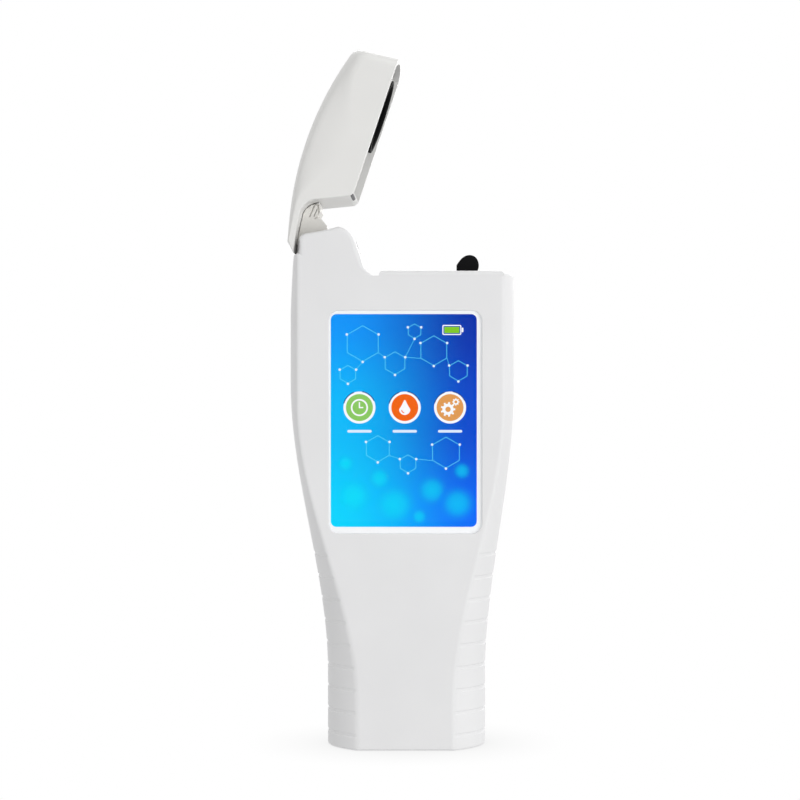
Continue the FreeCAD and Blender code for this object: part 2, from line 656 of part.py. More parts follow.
def lidHollow(d, wall):
    """Outline of the space in the lid at depth d; it runs out past the rim."""
    g = size("lidBevel") * (1 - d / halfDepth) ** size("sidePower")
    y, tip, top, end = d - halfDepth, size("lidTipX"), size("lidTop"), size("lidEndX")
    foot = V(end + wall, y, rim - 2)
    knee = V(end - 4.5 + wall, y, rim + 10.4)
    back = V(end - 4.0 + wall, y, top - 0.9 - wall - 0.75 * g)
    crown = V(size("lidCrownX") + 10, y, top - 0.4 - wall - 0.9 * g)
    brow = V(tip - 3.7 - wall - 0.83 * g, y, top - 5.2 - wall - 0.9 * g)
    lip = V(tip - 0.1 - wall - g, y, rim - 2)
    return Part.Wire([line(foot, knee), line(knee, back), arcThrough(back, crown, brow), line(brow, lip),
                      line(lip, foot)])


def bothHalves(half):
    return half.fuse(half.mirror(V(0, 0, 0), V(0, 1, 0))).removeSplitter()


lidForm = bothHalves(Part.makeLoft([lidSection(halfDepth * s) for s in LID_DEPTHS], True, True))
lidWall = size("lidWall")
hollowDepths = [lidWall + (halfDepth - lidWall) * s for s in CORE_DEPTHS]
lidSpace = bothHalves(Part.makeLoft([lidHollow(d, lidWall) for d in hollowDepths], True, True))
armScrewZ = rim + size("armScrewRise")
armScrewX = size("lidEndX") - size("armScrewSeat")
armScrewY = (-size("armScrewSpread"), size("armScrewSpread"))
armHoles = [pillar(size("screwRadius") + size("threadFit"), (armScrewX - size("armScrewLength") - 1, y, armScrewZ),
                   (1, 0, 0), size("armScrewLength") + 3) for y in armScrewY]
armHeadSeats = [pillar(size("screwHeadRadius") + size("screwFit"), (armScrewX, y, armScrewZ), (1, 0, 0), 3)
                for y in armScrewY]


def opened(shape):
    turned = shape.copy()
    turned.Placement = openTurn.multiply(turned.Placement)
    return turned


shaped("lid_shell", opened(lidForm.cut([lidSpace] + armHoles + armHeadSeats)))


# Underside of the bent end of the hinge arm, left of the lid end and above the rim, in hook lengths.
ARM_HOOK = ((0.52, 1.07), (0.77, 0.95), (0.98, 0.99), (1.02, 0.83), (1.18, 0.58))


def hingeArm():
    """Barrel on the hinge pin and the bent arm that carries the lid."""
    half = size("cheekGap") / 2 - size("washerThickness") - 2 * size("washerGap")
    px, pz, under, end = size("pivotX"), size("pivotZ"), size("lidTailUnder"), size("lidEndX")
    barrel, hook = size("barrelRadius"), size("armHook")
    corners = [(px - 0.36 * barrel, pz + 0.81 * barrel), (px + 0.6 * barrel, under - size("armGap"))]
    corners += [(end - a * hook, under - b * hook) for a, b in ((1.12, 0.02), (0.69, 0.23))]
    corners += [(end - a * hook, rim + b * hook) for a, b in ARM_HOOK]
    corners.append((px + 0.36 * barrel, pz - 0.81 * barrel))
    edge = [V(x, -half, z) for x, z in corners]
    web = Part.Face(Part.makePolygon(edge + edge[:1])).extrude(V(0, 2 * half, 0))
    whole = web.fuse(bar(barrel, (px, -half, pz), (0, 1, 0), 2 * half)).removeSplitter()
    bore = bar(size("pinRadius") + size("pinFit"), (px, -half - 1, pz), (0, 1, 0), 2 * half + 2)
    return whole.cut([bore] + armHoles)


shaped("hinge_arm", opened(hingeArm()))


def shroudRing(low, high, draw):
    """A ring round the well axis, drawn as round bars or as many-sided pillars."""
    x, y, inner = size("wellX"), size("wellY"), shroudRadius - size("shroudWall")
    return draw(shroudRadius, (x, y, low), high - low).cut(draw(inner, (x, y, low - 1), high - low + 2))


def roundUp(radius, start, length):
    return bar(radius, start, (0, 0, 1), length)


def foamUp(radius, start, length):
    return pillar(radius, start, (0, 0, 1), length, FOAM_SIDES)


foamTop = rim + size("foamHeight")
shaped("light_shroud", opened(shroudRing(foamTop, size("lidTop"), roundUp).common(lidSpace)))
shaped("shroud_foam", opened(shroudRing(rim, foamTop, foamUp)))


def screw(start, direction, head, length, sides=8):
    """A head with its shank; start is under the head and direction points at the tip."""
    back = [-part for part in direction]
    cap = pillar(size("screwHeadRadius"), start, back, head, sides)
    return cap.fuse(pillar(size("screwRadius"), start, direction, length)).removeSplitter()


headHeight = size("screwHeadHeight")
armScrews = [screw((armScrewX, y, armScrewZ), (-1, 0, 0), headHeight, size("armScrewLength"))
             for y in armScrewY]
shaped("arm_screws", opened(Part.makeCompound(armScrews)))
caseScrewStart = halfDepth - size("screwSink")
caseScrews = [screw((x, caseScrewStart, z), (0, -1, 0), headHeight, caseScrewStart + size("caseScrewReach"),
                    HEAD_SIDES) for x, z in bossSpots]
shaped("case_screws", Part.makeCompound(caseScrews))
boardBackY = boardFront + size("boardThickness")
boardScrews = [screw((x, boardBackY, z), (0, -1, 0), headHeight, size("boardScrewLength"))
               for x, z in postSpots]
shaped("board_screws", Part.makeCompound(boardScrews))

# Hinge pin and the friction washers on each side of the arm.
pin = body("HingePin")
pinSketch = ring(sketchOn(pin, "XZ_Plane", "PinSection", "-pinLength / 2"), "pinRadius", ("pivotX", "pivotZ"))
pad(pin, pinSketch, "pinLength", "PinPad")
node(pin, "hinge_pin")
washers = []
for side, start in (("Front", "-cheekGap / 2 + washerGap"), ("Rear", "cheekGap / 2 - washerGap - washerThickness")):
    disc = prism("Washer" + side, "washerRadius", ("pivotX", start, "pivotZ"), "washerThickness",
                 WASHER_SIDES, "y")
    hole = rod("WasherHole" + side, "pinRadius + pinFit", ("pivotX", start + " - 1", "pivotZ"),
               "washerThickness + 2", "y")
    washers.append(cut("WasherRing" + side, disc, [hole]))
pair = doc.addObject("Part::Compound", "Washers")
pair.Links = washers
node(pair, "friction_washers")

# Display stack, from the front: touch panel, foam frame, module, frame, main board.
stackY = "-bodyDepth / 2 + windowRecess"


def plate(label, width, low, high, start, thickness, plane="XZ_Plane"):
    """A flat plate of the stack, padded towards the rear from a bound depth."""
    owner = body(label.title().replace("_", ""))
    corners = [("-(%s) / 2" % width, low), ("(%s) / 2" % width, low), ("(%s) / 2" % width, high),
               ("-(%s) / 2" % width, high)]
    sk = outline(sketchOn(owner, plane, label + "_outline", "-(%s) - (%s)" % (start, thickness)), corners)
    pad(owner, sk, thickness, label + "_pad")
    return owner


node(plate("touch_panel", "panelWidth", "panelLow", "panelHigh", stackY, "panelThickness"), "touch_panel")
gasketY = stackY + " + panelThickness"
lcdY = gasketY + " + gasketThickness"
frameY = lcdY + " + lcdThickness"
boardY = frameY + " + frameDepth"
backY = boardY + " + boardThickness"
rings = (("display_gasket", gasketY, "gasketThickness"), ("display_frame", frameY, "frameDepth"))
for label, start, thickness in rings:
    blank = box(label + "_blank", ("-lcdWidth / 2", "lcdWidth / 2"), (start, start + " + " + thickness),
                ("lcdLow", "panelHigh"))
    space = box(label + "_space", ("-lcdWidth / 2 + frameRim / 3", "lcdWidth / 2 - frameRim / 3"),
                (start + " - 1", start + " + 1 + " + thickness),
                ("lcdLow + frameRim / 3", "panelHigh - frameRim / 3"))
    node(cut(label + "_ring", blank, [space]), label)
node(plate("lcd_module", "lcdWidth", "lcdLow", "lcdHigh", lcdY, "lcdThickness"), "lcd_module")
mainPlate = box("BoardMain", ("-boardWidth / 2", "boardWidth / 2"), (boardY, backY),
                ("boardBottom", "boardTop"))
mainTab = box("BoardTab", ("-tabHalf", "tabHalf"), (boardY, backY), ("tabBottom", "boardBottom"))
postNames = (("-postTopX", "postTopZ"), ("postTopX", "postTopZ"), ("-postLowX", "postLowZ"),
             ("postLowX", "postLowZ"))
boardHoles = [prism("BoardHole%d" % i, "screwRadius + screwFit", (x, boardY + " - 1", z),
                    "boardThickness + 2", 8, "y") for i, (x, z) in enumerate(postNames)]
node(cut("MainBoard", fuse("BoardBlank", [mainPlate, mainTab]), boardHoles), "main_board")

# Parts on the rear side of the main board.
node(box("ProcessorShield", ("shieldX - shieldWidth / 2", "shieldX + shieldWidth / 2"),
         (backY, backY + " + shieldHeight"), ("shieldZ - shieldWidth / 2", "shieldZ + shieldWidth / 2")),
     "processor_shield")
node(rod("Buzzer", "buzzerRadius", ("buzzerX", backY, "buzzerZ"), "buzzerHeight", "y"), "buzzer")
node(rod("ClockCell", "cellRadius", ("cellX", backY, "cellZ"), "cellHeight", "y"), "clock_cell")
ribbonX = "wellX - chamberSnout - ribbonLead"
ribbonZ = "chamberBottom + chamberPortRise"
node(box("RibbonSocket", (ribbonX + " - ribbonSocketWidth / 2", ribbonX + " + ribbonSocketWidth / 2"),
         (backY, backY + " + ribbonSocketHeight"),
         (ribbonZ + " - ribbonWidth / 2 - 1", ribbonZ + " + ribbonWidth / 2 + 1")), "ribbon_socket")

# Detection chamber with its photodetector, and the swab holder that lifts out of it.
chamberTop = "chamberBottom + chamberHeight"
portZ = "chamberBottom + chamberPortRise"
holderRadius = "wellRadius + holderWall"
innerRear = "bodyDepth / 2 - wallThickness"
snoutEnd = "wellX - chamberSnout"
drum = prism("ChamberDrum", "chamberRadius", ("wellX", "wellY", "chamberBottom"), "chamberHeight", 8)
snoutZ = (portZ + " - snoutHeight / 2", portZ + " + snoutHeight / 2")
snout = box("ChamberSnout", (snoutEnd, "wellX"), ("wellY - snoutHalfWidth", "wellY + snoutHalfWidth"), snoutZ)
foot = box("ChamberFoot", ("wellX - footLeft", "wellX + footRight"), ("wellY", innerRear), snoutZ)
chamberCuts = [rod("ChamberBore", holderRadius + " + holderFit",
                   ("wellX", "wellY", "chamberBottom + chamberFloor"), "chamberHeight"),
               rod("ChamberPort", "portRadius", (snoutEnd, "wellY", portZ), "chamberSnout", "x"),
               rod("LensSeat", "lensRadius + lensFit", (snoutEnd, "wellY", portZ),
                   "detectorLength + lensThickness + 2 * lensFit", "x"),
               rod("DetectorSeat", "detectorRadius + lensFit", (snoutEnd, "wellY", portZ),
                   "detectorLength + lensFit", "x")]
node(cut("Chamber", fuse("ChamberBlank", [drum, snout, foot]), chamberCuts), "detection_chamber")
node(rod("PortWindow", "lensRadius", (snoutEnd + " + detectorLength + 1.5 * lensFit", "wellY", portZ),
         "lensThickness", "x"), "port_window")
node(rod("Photodetector", "detectorRadius", (snoutEnd, "wellY", portZ), "detectorLength", "x"), "photodetector")
boardX = snoutEnd + " - smallBoard"
node(box("DetectorBoard", (boardX, snoutEnd), ("wellY - detectorBoardHalf", "wellY + detectorBoardHalf"),
         (portZ + " - detectorBoardHeight / 2", portZ + " + detectorBoardHeight / 2")),
     "detector_board")
can = box("ShieldCan", (boardX + " - canDepth", boardX), ("wellY - canHalf", "wellY + canHalf"),
          (portZ + " - canHeight / 2", portZ + " + canHeight / 2"))
canSpace = box("ShieldSpace", (boardX + " - canDepth + canWall", boardX + " + 1"),
               ("wellY - canHalf + canWall", "wellY + canHalf - canWall"),
               (portZ + " - canHeight / 2 + canWall", portZ + " + canHeight / 2 - canWall"))
node(cut("DetectorShield", can, [canSpace]), "detector_shield")
node(box("DetectorRibbon", (ribbonX + " - ribbonThickness / 2", ribbonX + " + ribbonThickness / 2"),
         (backY + " + ribbonSocketHeight", "wellY - detectorBoardHalf"),
         (ribbonZ + " - ribbonWidth / 2", ribbonZ + " + ribbonWidth / 2")), "detector_ribbon")

holder = body("SwabHolder")
holderTop = "bodyTop + deckThickness"
holderLow = "chamberBottom + chamberFloor + holderSeatGap"
collarOut = "bodyDepth / 2 - lidWall - wellY - shroudGap - shroudWall - collarGap"
profile = [("0", holderLow), (holderRadius, holderLow), (holderRadius, holderTop + " - collarHeight"),
           (collarOut, holderTop + " - collarHeight"), (collarOut, holderTop), ("wellRadius", holderTop),
           ("wellRadius", holderLow + " + holderFloor"), ("0", holderLow + " + holderFloor")]
revolve(holder, outline(sketchOn(holder, "XZ_Plane", "HolderProfile"), profile), "HolderTurned")
holder.setExpression("Placement.Base.x", bound("wellX"))
holder.setExpression("Placement.Base.y", bound("wellY"))
lug = body("PullLug")
lugShape = [("-0.5", "0"), ("0.37", "0"), ("0.5", "0.34"), ("0.49", "0.6"), ("0.36", "0.88"), ("0.12", "1"),
            ("-0.12", "0.94"), ("-0.5", "0.46")]
lugPoints = [("%s * lugWidth" % a, "%s * lugHeight" % b) for a, b in lugShape]
lugSketch = outline(sketchOn(lug, "XZ_Plane", "LugProfile", "-lugThickness"), lugPoints)
pad(lug, lugSketch, "lugThickness", "LugPad")
lug.setExpression("Placement.Base.x", bound("wellX"))
lug.setExpression("Placement.Base.y", bound("wellY + lugInset - (%s)" % collarOut))
lug.setExpression("Placement.Base.z", bound(holderTop))
slot = box("LightSlot", ("wellX - wellRadius - 2 * holderWall", "wellX"),
           ("wellY - lightSlot / 2", "wellY + lightSlot / 2"),
           (portZ + " - lightSlotHeight / 2", portZ + " + lightSlotHeight / 2"))
node(cut("Holder", fuse("HolderBlank", [holder, lug]), [slot]), "swab_holder")
sealDisc = prism("SealDisc", "sealRadius - sealFit", ("wellX", "wellY", "bodyTop - sealHeight"), "sealHeight",
                 SEAL_SIDES)
sealHole = rod("SealHole", holderRadius + " + 2 * sealFit", ("wellX", "wellY", "bodyTop - sealHeight - 1"),
               "sealHeight + 2")
node(cut("WellSeal", sealDisc, [sealHole]), "well_seal")

# Battery, charging socket and power key.
tapeY = innerRear + " - tapeThickness"
node(box("BatteryTape", ("-batteryWidth / 2 + 2", "batteryWidth / 2 - 2"), (tapeY, innerRear),
         ("batteryBottom + 3", "batteryBottom + batteryHeight - 3")), "battery_tape")
node(box("Battery", ("-batteryWidth / 2", "batteryWidth / 2"), (tapeY + " - batteryDepth", tapeY),
         ("batteryBottom", "batteryBottom + batteryHeight")), "battery_pack")
chargeY = "usbY - usbDepth / 2"
node(box("ChargeBoard", ("-chargeWidth / 2", "chargeWidth / 2"), (chargeY + " - smallBoard", chargeY),
         ("wallThickness + chargeGap", "chargeTop")), "charge_board")
socket = box("UsbBlank", ("-usbWidth / 2", "usbWidth / 2"), (chargeY, chargeY + " + usbDepth"),
             ("usbSink", "usbSink + usbLength"))
mouth = box("UsbMouth", ("-usbWidth / 2 + usbShell", "usbWidth / 2 - usbShell"),
            (chargeY + " + usbShell", chargeY + " + usbDepth - usbShell"), ("0", "usbLength - 2 * usbShell"))
tongue = box("UsbTongue", ("-usbWidth / 2 + 3 * usbShell", "usbWidth / 2 - 3 * usbShell"),
             ("usbY - usbTongue / 2", "usbY + usbTongue / 2"),
             ("usbSink + 2 * usbShell", "usbLength - usbShell"))
node(fuse("UsbSocket", [cut("UsbShell", socket, [mouth]), tongue]), "charging_socket")

keyEdgeDepth = halfDepth - size("keyY") - size("keyWidth") / 2
keyFace = "-%.4f + keyRecess" % reach(-1, size("keyZ"), keyEdgeDepth)
flangeX = "-%.4f + keySeatGap" % (reach(-1, size("keyZ"), keyEdgeDepth - size("keyRim")) - wall)
cap = box("KeyCap", (keyFace, flangeX + " + keyFlange"), ("keyY - keyWidth / 2", "keyY + keyWidth / 2"),
          ("keyZ - keyLength / 2", "keyZ + keyLength / 2"))
flange = box("KeyFlange", (flangeX, flangeX + " + keyFlange"),
             ("keyY - keyWidth / 2 - keyRim", "keyY + keyWidth / 2 + keyRim"),
             ("keyZ - keyLength / 2 - keyRim", "keyZ + keyLength / 2 + keyRim"))
node(fuse("PowerKey", [cap, flange]), "power_key")
plungerX = flangeX + " + keyFlange"
switchX = plungerX + " + keyTravel + plungerGap"
node(rod("SwitchPlunger", "plungerRadius", (plungerX, "keyY", "keyZ"), "plungerLength", "x"), "switch_plunger")
switchBlock = box("SwitchBlock", (switchX, switchX + " + switchDepth"),
                  ("keyY - switchBody / 2", "keyY + switchBody / 2"),
                  ("keyZ - switchBody / 2", "keyZ + switchBody / 2"))
switchBore = rod("SwitchBore", "plungerRadius + plungerFit", (switchX + " - 1", "keyY", "keyZ"),
                 "1 + plungerLength - plungerGap + plungerFit", "x")
node(cut("PowerSwitch", switchBlock, [switchBore]), "power_switch")
ribGap = "keyLength / 2 + keyRibSpan - keyRibThickness / 2 - panelFit"
node(box("SwitchBoard", (switchX + " + switchDepth", switchX + " + switchDepth + smallBoard"),
         ("switchBoardFront", "switchBoardRear"), ("keyZ - (%s)" % ribGap, "keyZ + (%s)" % ribGap)),
     "switch_board")

doc.recompute()
for obj in doc.Objects:
    if "Invalid" in obj.State or "Error" in obj.State:
        raise RuntimeError("%s failed: %s" % (obj.Name, obj.State))
os.makedirs("parts", exist_ok=True)
for obj in nodes:
    shape = obj.Shape
    if shape.isNull() or not shape.isValid():
        raise RuntimeError("bad shape: " + obj.Label)
    bb = shape.BoundBox
    print("%-18s solids %d volume %9.1f  x %.2f %.2f  y %.2f %.2f  z %.2f %.2f" % (
        obj.Label, len(shape.Solids), shape.Volume, bb.XMin, bb.XMax, bb.YMin, bb.YMax, bb.ZMin, bb.ZMax))
    shape.exportStep("parts/%s.step" % obj.Label)
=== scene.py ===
import bpy
import bmesh
import json
import math
from mathutils import Matrix, Vector


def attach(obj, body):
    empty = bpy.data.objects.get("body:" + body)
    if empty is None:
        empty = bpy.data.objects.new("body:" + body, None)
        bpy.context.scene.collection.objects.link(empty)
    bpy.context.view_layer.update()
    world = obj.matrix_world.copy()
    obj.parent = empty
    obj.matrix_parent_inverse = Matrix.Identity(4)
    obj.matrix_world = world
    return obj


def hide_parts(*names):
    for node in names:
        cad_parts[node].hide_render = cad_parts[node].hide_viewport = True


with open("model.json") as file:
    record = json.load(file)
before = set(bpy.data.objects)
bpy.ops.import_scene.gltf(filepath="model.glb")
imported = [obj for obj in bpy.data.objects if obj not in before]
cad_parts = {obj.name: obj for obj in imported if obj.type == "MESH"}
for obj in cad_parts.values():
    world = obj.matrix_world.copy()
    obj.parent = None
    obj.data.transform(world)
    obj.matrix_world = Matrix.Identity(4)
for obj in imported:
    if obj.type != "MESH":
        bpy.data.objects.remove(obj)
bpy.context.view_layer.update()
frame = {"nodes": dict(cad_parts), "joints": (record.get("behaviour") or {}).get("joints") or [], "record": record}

mm = 0.001      # the dictionaries below are in millimetres, the scene is in metres
lidJoint = [joint for joint in frame["joints"] if joint["name"] == "lid_hinge"][0]
print("frame loaded with", len(frame["nodes"]), "nodes")

# camera, square on to the display, framed as in the photograph
view = {
    "eye": (0.015, -0.708, 0.11795),
    "lens": 92.25,
    "shift": -0.0626,
}
cameraData = bpy.data.cameras.new("camera")
cameraData.lens = view["lens"]
cameraData.sensor_width = 36
cameraData.shift_x = view["shift"]
cameraData.clip_start = 0.01
camera = bpy.data.objects.new("camera", cameraData)
camera.location = view["eye"]
camera.rotation_euler = (math.radians(90), 0, 0)
bpy.context.scene.collection.objects.link(camera)
bpy.context.scene.camera = camera
bpy.context.scene.view_settings.view_transform = "Standard"
print("camera ready")


# node helpers
def newMaterial(name):
    material = bpy.data.materials.new(name)
    material.use_nodes = True
    nodes = material.node_tree.nodes
    return material, nodes, material.node_tree.links, nodes["Principled BSDF"]


def addPattern(nodes, links, kind, **values):
    # a pattern laid out in the piece's own coordinates
    pattern = nodes.new(kind)
    for socket, value in values.items():
        pattern.inputs[socket].default_value = value
    links.new(nodes.new("ShaderNodeTexCoord").outputs["Object"], pattern.inputs["Vector"])
    return pattern


def addNoise(nodes, links, scale, detail=3, roughness=0.5):
    return addPattern(nodes, links, "ShaderNodeTexNoise", Scale=scale, Detail=detail, Roughness=roughness)


def addBlend(nodes, links, share, first, second):
    # share is a socket, or a plain number
    blend = nodes.new("ShaderNodeMixShader")
    if isinstance(share, float):
        blend.inputs["Fac"].default_value = share
    else:
        links.new(share, blend.inputs["Fac"])
    links.new(first.outputs[0], blend.inputs[1])
    links.new(second.outputs[0], blend.inputs[2])
    return blend


def bareMaterial(name):
    # a material without its first shader, and the socket that its surface goes to
    material, nodes, links, shader = newMaterial(name)
    nodes.remove(shader)
    output = [found for found in nodes if found.type == "OUTPUT_MATERIAL"][0]
    return material, nodes, links, output.inputs["Surface"]


def addRange(nodes, links, source, low, high):
    ramp = nodes.new("ShaderNodeMapRange")
    ramp.inputs["To Min"].default_value = low
    ramp.inputs["To Max"].default_value = high
    links.new(source, ramp.inputs["Value"])
    return ramp.outputs["Result"]


def addTint(nodes, links, source, dark, light):
    ramp = nodes.new("ShaderNodeValToRGB")
    ramp.color_ramp.elements[0].position = 0.3
    ramp.color_ramp.elements[1].position = 0.7
    ramp.color_ramp.elements[0].color = (*dark, 1)
    ramp.color_ramp.elements[1].color = (*light, 1)
    links.new(source, ramp.inputs["Fac"])
    return ramp.outputs["Color"]


def addGrain(nodes, links, shader, height, strength, distance):
    bump = nodes.new("ShaderNodeBump")
    bump.inputs["Strength"].default_value = strength
    bump.inputs["Distance"].default_value = distance
    links.new(height, bump.inputs["Height"])
    links.new(bump.outputs["Normal"], shader.inputs["Normal"])


def mouldedPlastic(name, colour, spread=0.012, rough=(0.36, 0.46), grain=0.12, sheen=0.14):
    # two scales: a slow flow tint and a fine moulded grain
    material, nodes, links, shader = newMaterial(name)
    flow = addNoise(nodes, links, 45, 2)
    fine = addNoise(nodes, links, 2600, 2, 0.6)
    dark = [max(0.0, part - spread) for part in colour]
    light = [min(1.0, part + spread) for part in colour]
    links.new(addTint(nodes, links, flow.outputs["Fac"], dark, light), shader.inputs["Base Color"])
    links.new(addRange(nodes, links, fine.outputs["Fac"], *rough), shader.inputs["Roughness"])
    addGrain(nodes, links, shader, fine.outputs["Fac"], grain, 0.00004)
    shader.inputs["Specular IOR Level"].default_value = sheen
    return material


def plainMetal(name, colour, rough=(0.22, 0.36)):
    material, nodes, links, shader = newMaterial(name)
    brushed = addNoise(nodes, links, 900, 4)
    dark = [part * 0.85 for part in colour]
    links.new(addTint(nodes, links, brushed.outputs["Fac"], dark, colour), shader.inputs["Base Color"])
    links.new(addRange(nodes, links, brushed.outputs["Fac"], *rough), shader.inputs["Roughness"])
    shader.inputs["Metallic"].default_value = 1
    return material


def softFoam(name, colour):
    material, nodes, links, shader = newMaterial(name)
    cells = addPattern(nodes, links, "ShaderNodeTexVoronoi", Scale=3200)
    dark = [part * 0.5 for part in colour]
    links.new(addTint(nodes, links, cells.outputs["Distance"], dark, colour), shader.inputs["Base Color"])
    shader.inputs["Roughness"].default_value = 0.9
    shader.inputs["Specular IOR Level"].default_value = 0.2
    addGrain(nodes, links, shader, cells.outputs["Distance"], 0.5, 0.0001)
    return material


def circuitBoard(name, colour):
    # copper tracks show as slightly lighter lines under the green lacquer
    material, nodes, links, shader = newMaterial(name)
    tracks = addPattern(nodes, links, "ShaderNodeTexBrick", Scale=260, Color1=(*colour, 1),
                        Color2=(*[part * 0.9 for part in colour], 1),
                        Mortar=(*[min(1, part * 1.7) for part in colour], 1))
    links.new(tracks.outputs["Color"], shader.inputs["Base Color"])
    shader.inputs["Roughness"].default_value = 0.3
    return material


def printedBorder(name, colour, paintedGlow):
    # white print under the panel, with a faint painted glow (emission) that stands in for light falling on it
    material, nodes, links, shader = newMaterial(name)
    printed = addNoise(nodes, links, 700, 2)
    tint = addTint(nodes, links, printed.outputs["Fac"], [part * 0.98 for part in colour], colour)
    links.new(tint, shader.inputs["Base Color"])
    links.new(tint, shader.inputs["Emission Color"])
    # painted glow: this emission brightens the border against the shade of the window recess; the print itself gives
    # no light
    shader.inputs["Emission Strength"].default_value = paintedGlow
    shader.inputs["Roughness"].default_value = 0.4
    return material


def clearPane(name, tint, rough):
    material, nodes, links, shader = newMaterial(name)
    smear = addNoise(nodes, links, 60, 2)
    links.new(addRange(nodes, links, smear.outputs["Fac"], rough * 0.6, rough * 1.4), shader.inputs["Roughness"])
    shader.inputs["Base Color"].default_value = (*tint, 1)
    shader.inputs["Transmission Weight"].default_value = 1
    shader.inputs["IOR"].default_value = 1.45
    return material


finishes = {
    "shell": mouldedPlastic("shellPlastic", (0.80, 0.80, 0.805)),
    "lid": mouldedPlastic("lidPlastic", (0.80, 0.797, 0.78)),
    "arm": mouldedPlastic("armPlastic", (0.84, 0.825, 0.79), rough=(0.4, 0.5)),
    "black": mouldedPlastic("blackPlastic", (0.004, 0.004, 0.0045), spread=0.001, rough=(0.5, 0.6), grain=0.2,
                            sheen=0.07),
    "key": mouldedPlastic("keyPlastic", (0.50, 0.51, 0.53), rough=(0.4, 0.5)),
    "dark": mouldedPlastic("smallPlastic", (0.05, 0.05, 0.055), spread=0.01),
    "battery": mouldedPlastic("batteryFilm", (0.06, 0.16, 0.45), spread=0.02, rough=(0.2, 0.3)),
    "foam": softFoam("ringFoam", (0.008, 0.008, 0.008)),
    "seal": softFoam("sealRubber", (0.05, 0.05, 0.05)),
    "steel": plainMetal("platedSteel", (0.62, 0.62, 0.64)),
    "board": circuitBoard("circuitBoard", (0.02, 0.14, 0.06)),
    "pane": clearPane("panelGlass", (0.97, 0.99, 1.0), 0.02),
    # the border's emission strength is a painted glow that lightens it where shade falls, not a lamp
    "border": printedBorder("panelBorder", (0.86, 0.875, 0.89), 0.16),
}
print("finishes ready")


# mesh helpers
def addPiece(name, verts, faces):
    mesh = bpy.data.meshes.new(name)
    mesh.from_pydata([(x * mm, y * mm, z * mm) for x, y, z in verts], [], faces)
    shape = bmesh.new()
    shape.from_mesh(mesh)
    bmesh.ops.recalc_face_normals(shape, faces=shape.faces)
    shape.to_mesh(mesh)
    shape.free()
    piece = bpy.data.objects.new(name, mesh)
    bpy.context.scene.collection.objects.link(piece)
    return piece


def addLoft(name, rings, closed=True):
    # rings of equally many points, joined by quads and capped at both ends
    count = len(rings[0])
    verts = [point for ring in rings for point in ring]
    faces = []
    for level in range(len(rings) - 1):
        for step in range(count):
            a, b = level * count + step, level * count + (step + 1) % count
            faces.append((a, b, b + count, a + count))
    if closed:
        faces.append(tuple(range(count)))
        faces.append(tuple(range((len(rings) - 1) * count, len(rings) * count)))
    return addPiece(name, verts, faces)


def cleared(mesh, gap):
    shape = bmesh.new()
    shape.from_mesh(mesh)
    bmesh.ops.remove_doubles(shape, verts=shape.verts, dist=gap * mm)
    bmesh.ops.dissolve_degenerate(shape, edges=shape.edges, dist=gap * mm)
    shape.to_mesh(mesh)
    shape.free()


def combine(piece, tools, operation="DIFFERENCE", gap=0.004):
    for tool in tools:
        step = piece.modifiers.new("step", "BOOLEAN")
        step.operation = operation
        step.solver = "EXACT"
        step.object = tool
    done = piece.evaluated_get(bpy.context.evaluated_depsgraph_get())
    mesh = bpy.data.meshes.new_from_object(done)
    piece.modifiers.clear()
    piece.data = mesh
    cleared(mesh, gap)
    for tool in tools:
        bpy.data.objects.remove(tool)
    return piece


def settle(piece, material, body, nodes=(), crease=32, edge=0):
    # shading, fine edge rounding, finish and the body that carries the piece
    mesh = piece.data
    mesh.materials.clear()
    mesh.materials.append(finishes[material] if isinstance(material, str) else material)
    mesh.shade_smooth()
    mesh.set_sharp_from_angle(angle=math.radians(crease))
    if edge:
        softened = piece.modifiers.new("edges", "BEVEL")
        softened.width = edge * mm
        softened.segments = 2
        softened.limit_method = "ANGLE"
        softened.angle_limit = math.radians(crease + 8)
    even = piece.modifiers.new("even", "WEIGHTED_NORMAL")
    even.keep_sharp = True
    even.weight = 60
    if nodes:
        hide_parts(*nodes)
    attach(piece, body)
    return piece


def circle(x, z, radius, steps=40, start=0.0):
    angles = [2 * math.pi * (start + step / steps) for step in range(steps)]
    return [(x + radius * math.cos(angle), z + radius * math.sin(angle)) for angle in angles]


def moved(points, x, z):
    return [(x + px, z + pz) for px, pz in points]


def turned(profile, steps=72, centre=(0, 0)):
    # rings of a turned form round a vertical axis; profile holds (radius, height) pairs
    return [[(x, y, height) for x, y in circle(*centre, radius, steps)] for radius, height in profile]


def rounding(radius, steps=6):
    # (rise, run) pairs of a quarter round
    angles = [math.pi / 2 * step / steps for step in range(steps + 1)]
    return [(radius * (1 - math.cos(angle)), radius * (1 - math.sin(angle))) for angle in angles]


def roundedOutline(width, height, radius, steps=8):
    points = []
    for turn, (sx, sz) in enumerate(((1, 1), (-1, 1), (-1, -1), (1, -1))):
        for step in range(steps + 1):
            angle = math.pi / 2 * (turn + step / steps)
            points.append((sx * (width / 2 - radius) + radius * math.cos(angle),
                           sz * (height / 2 - radius) + radius * math.sin(angle)))
    return points


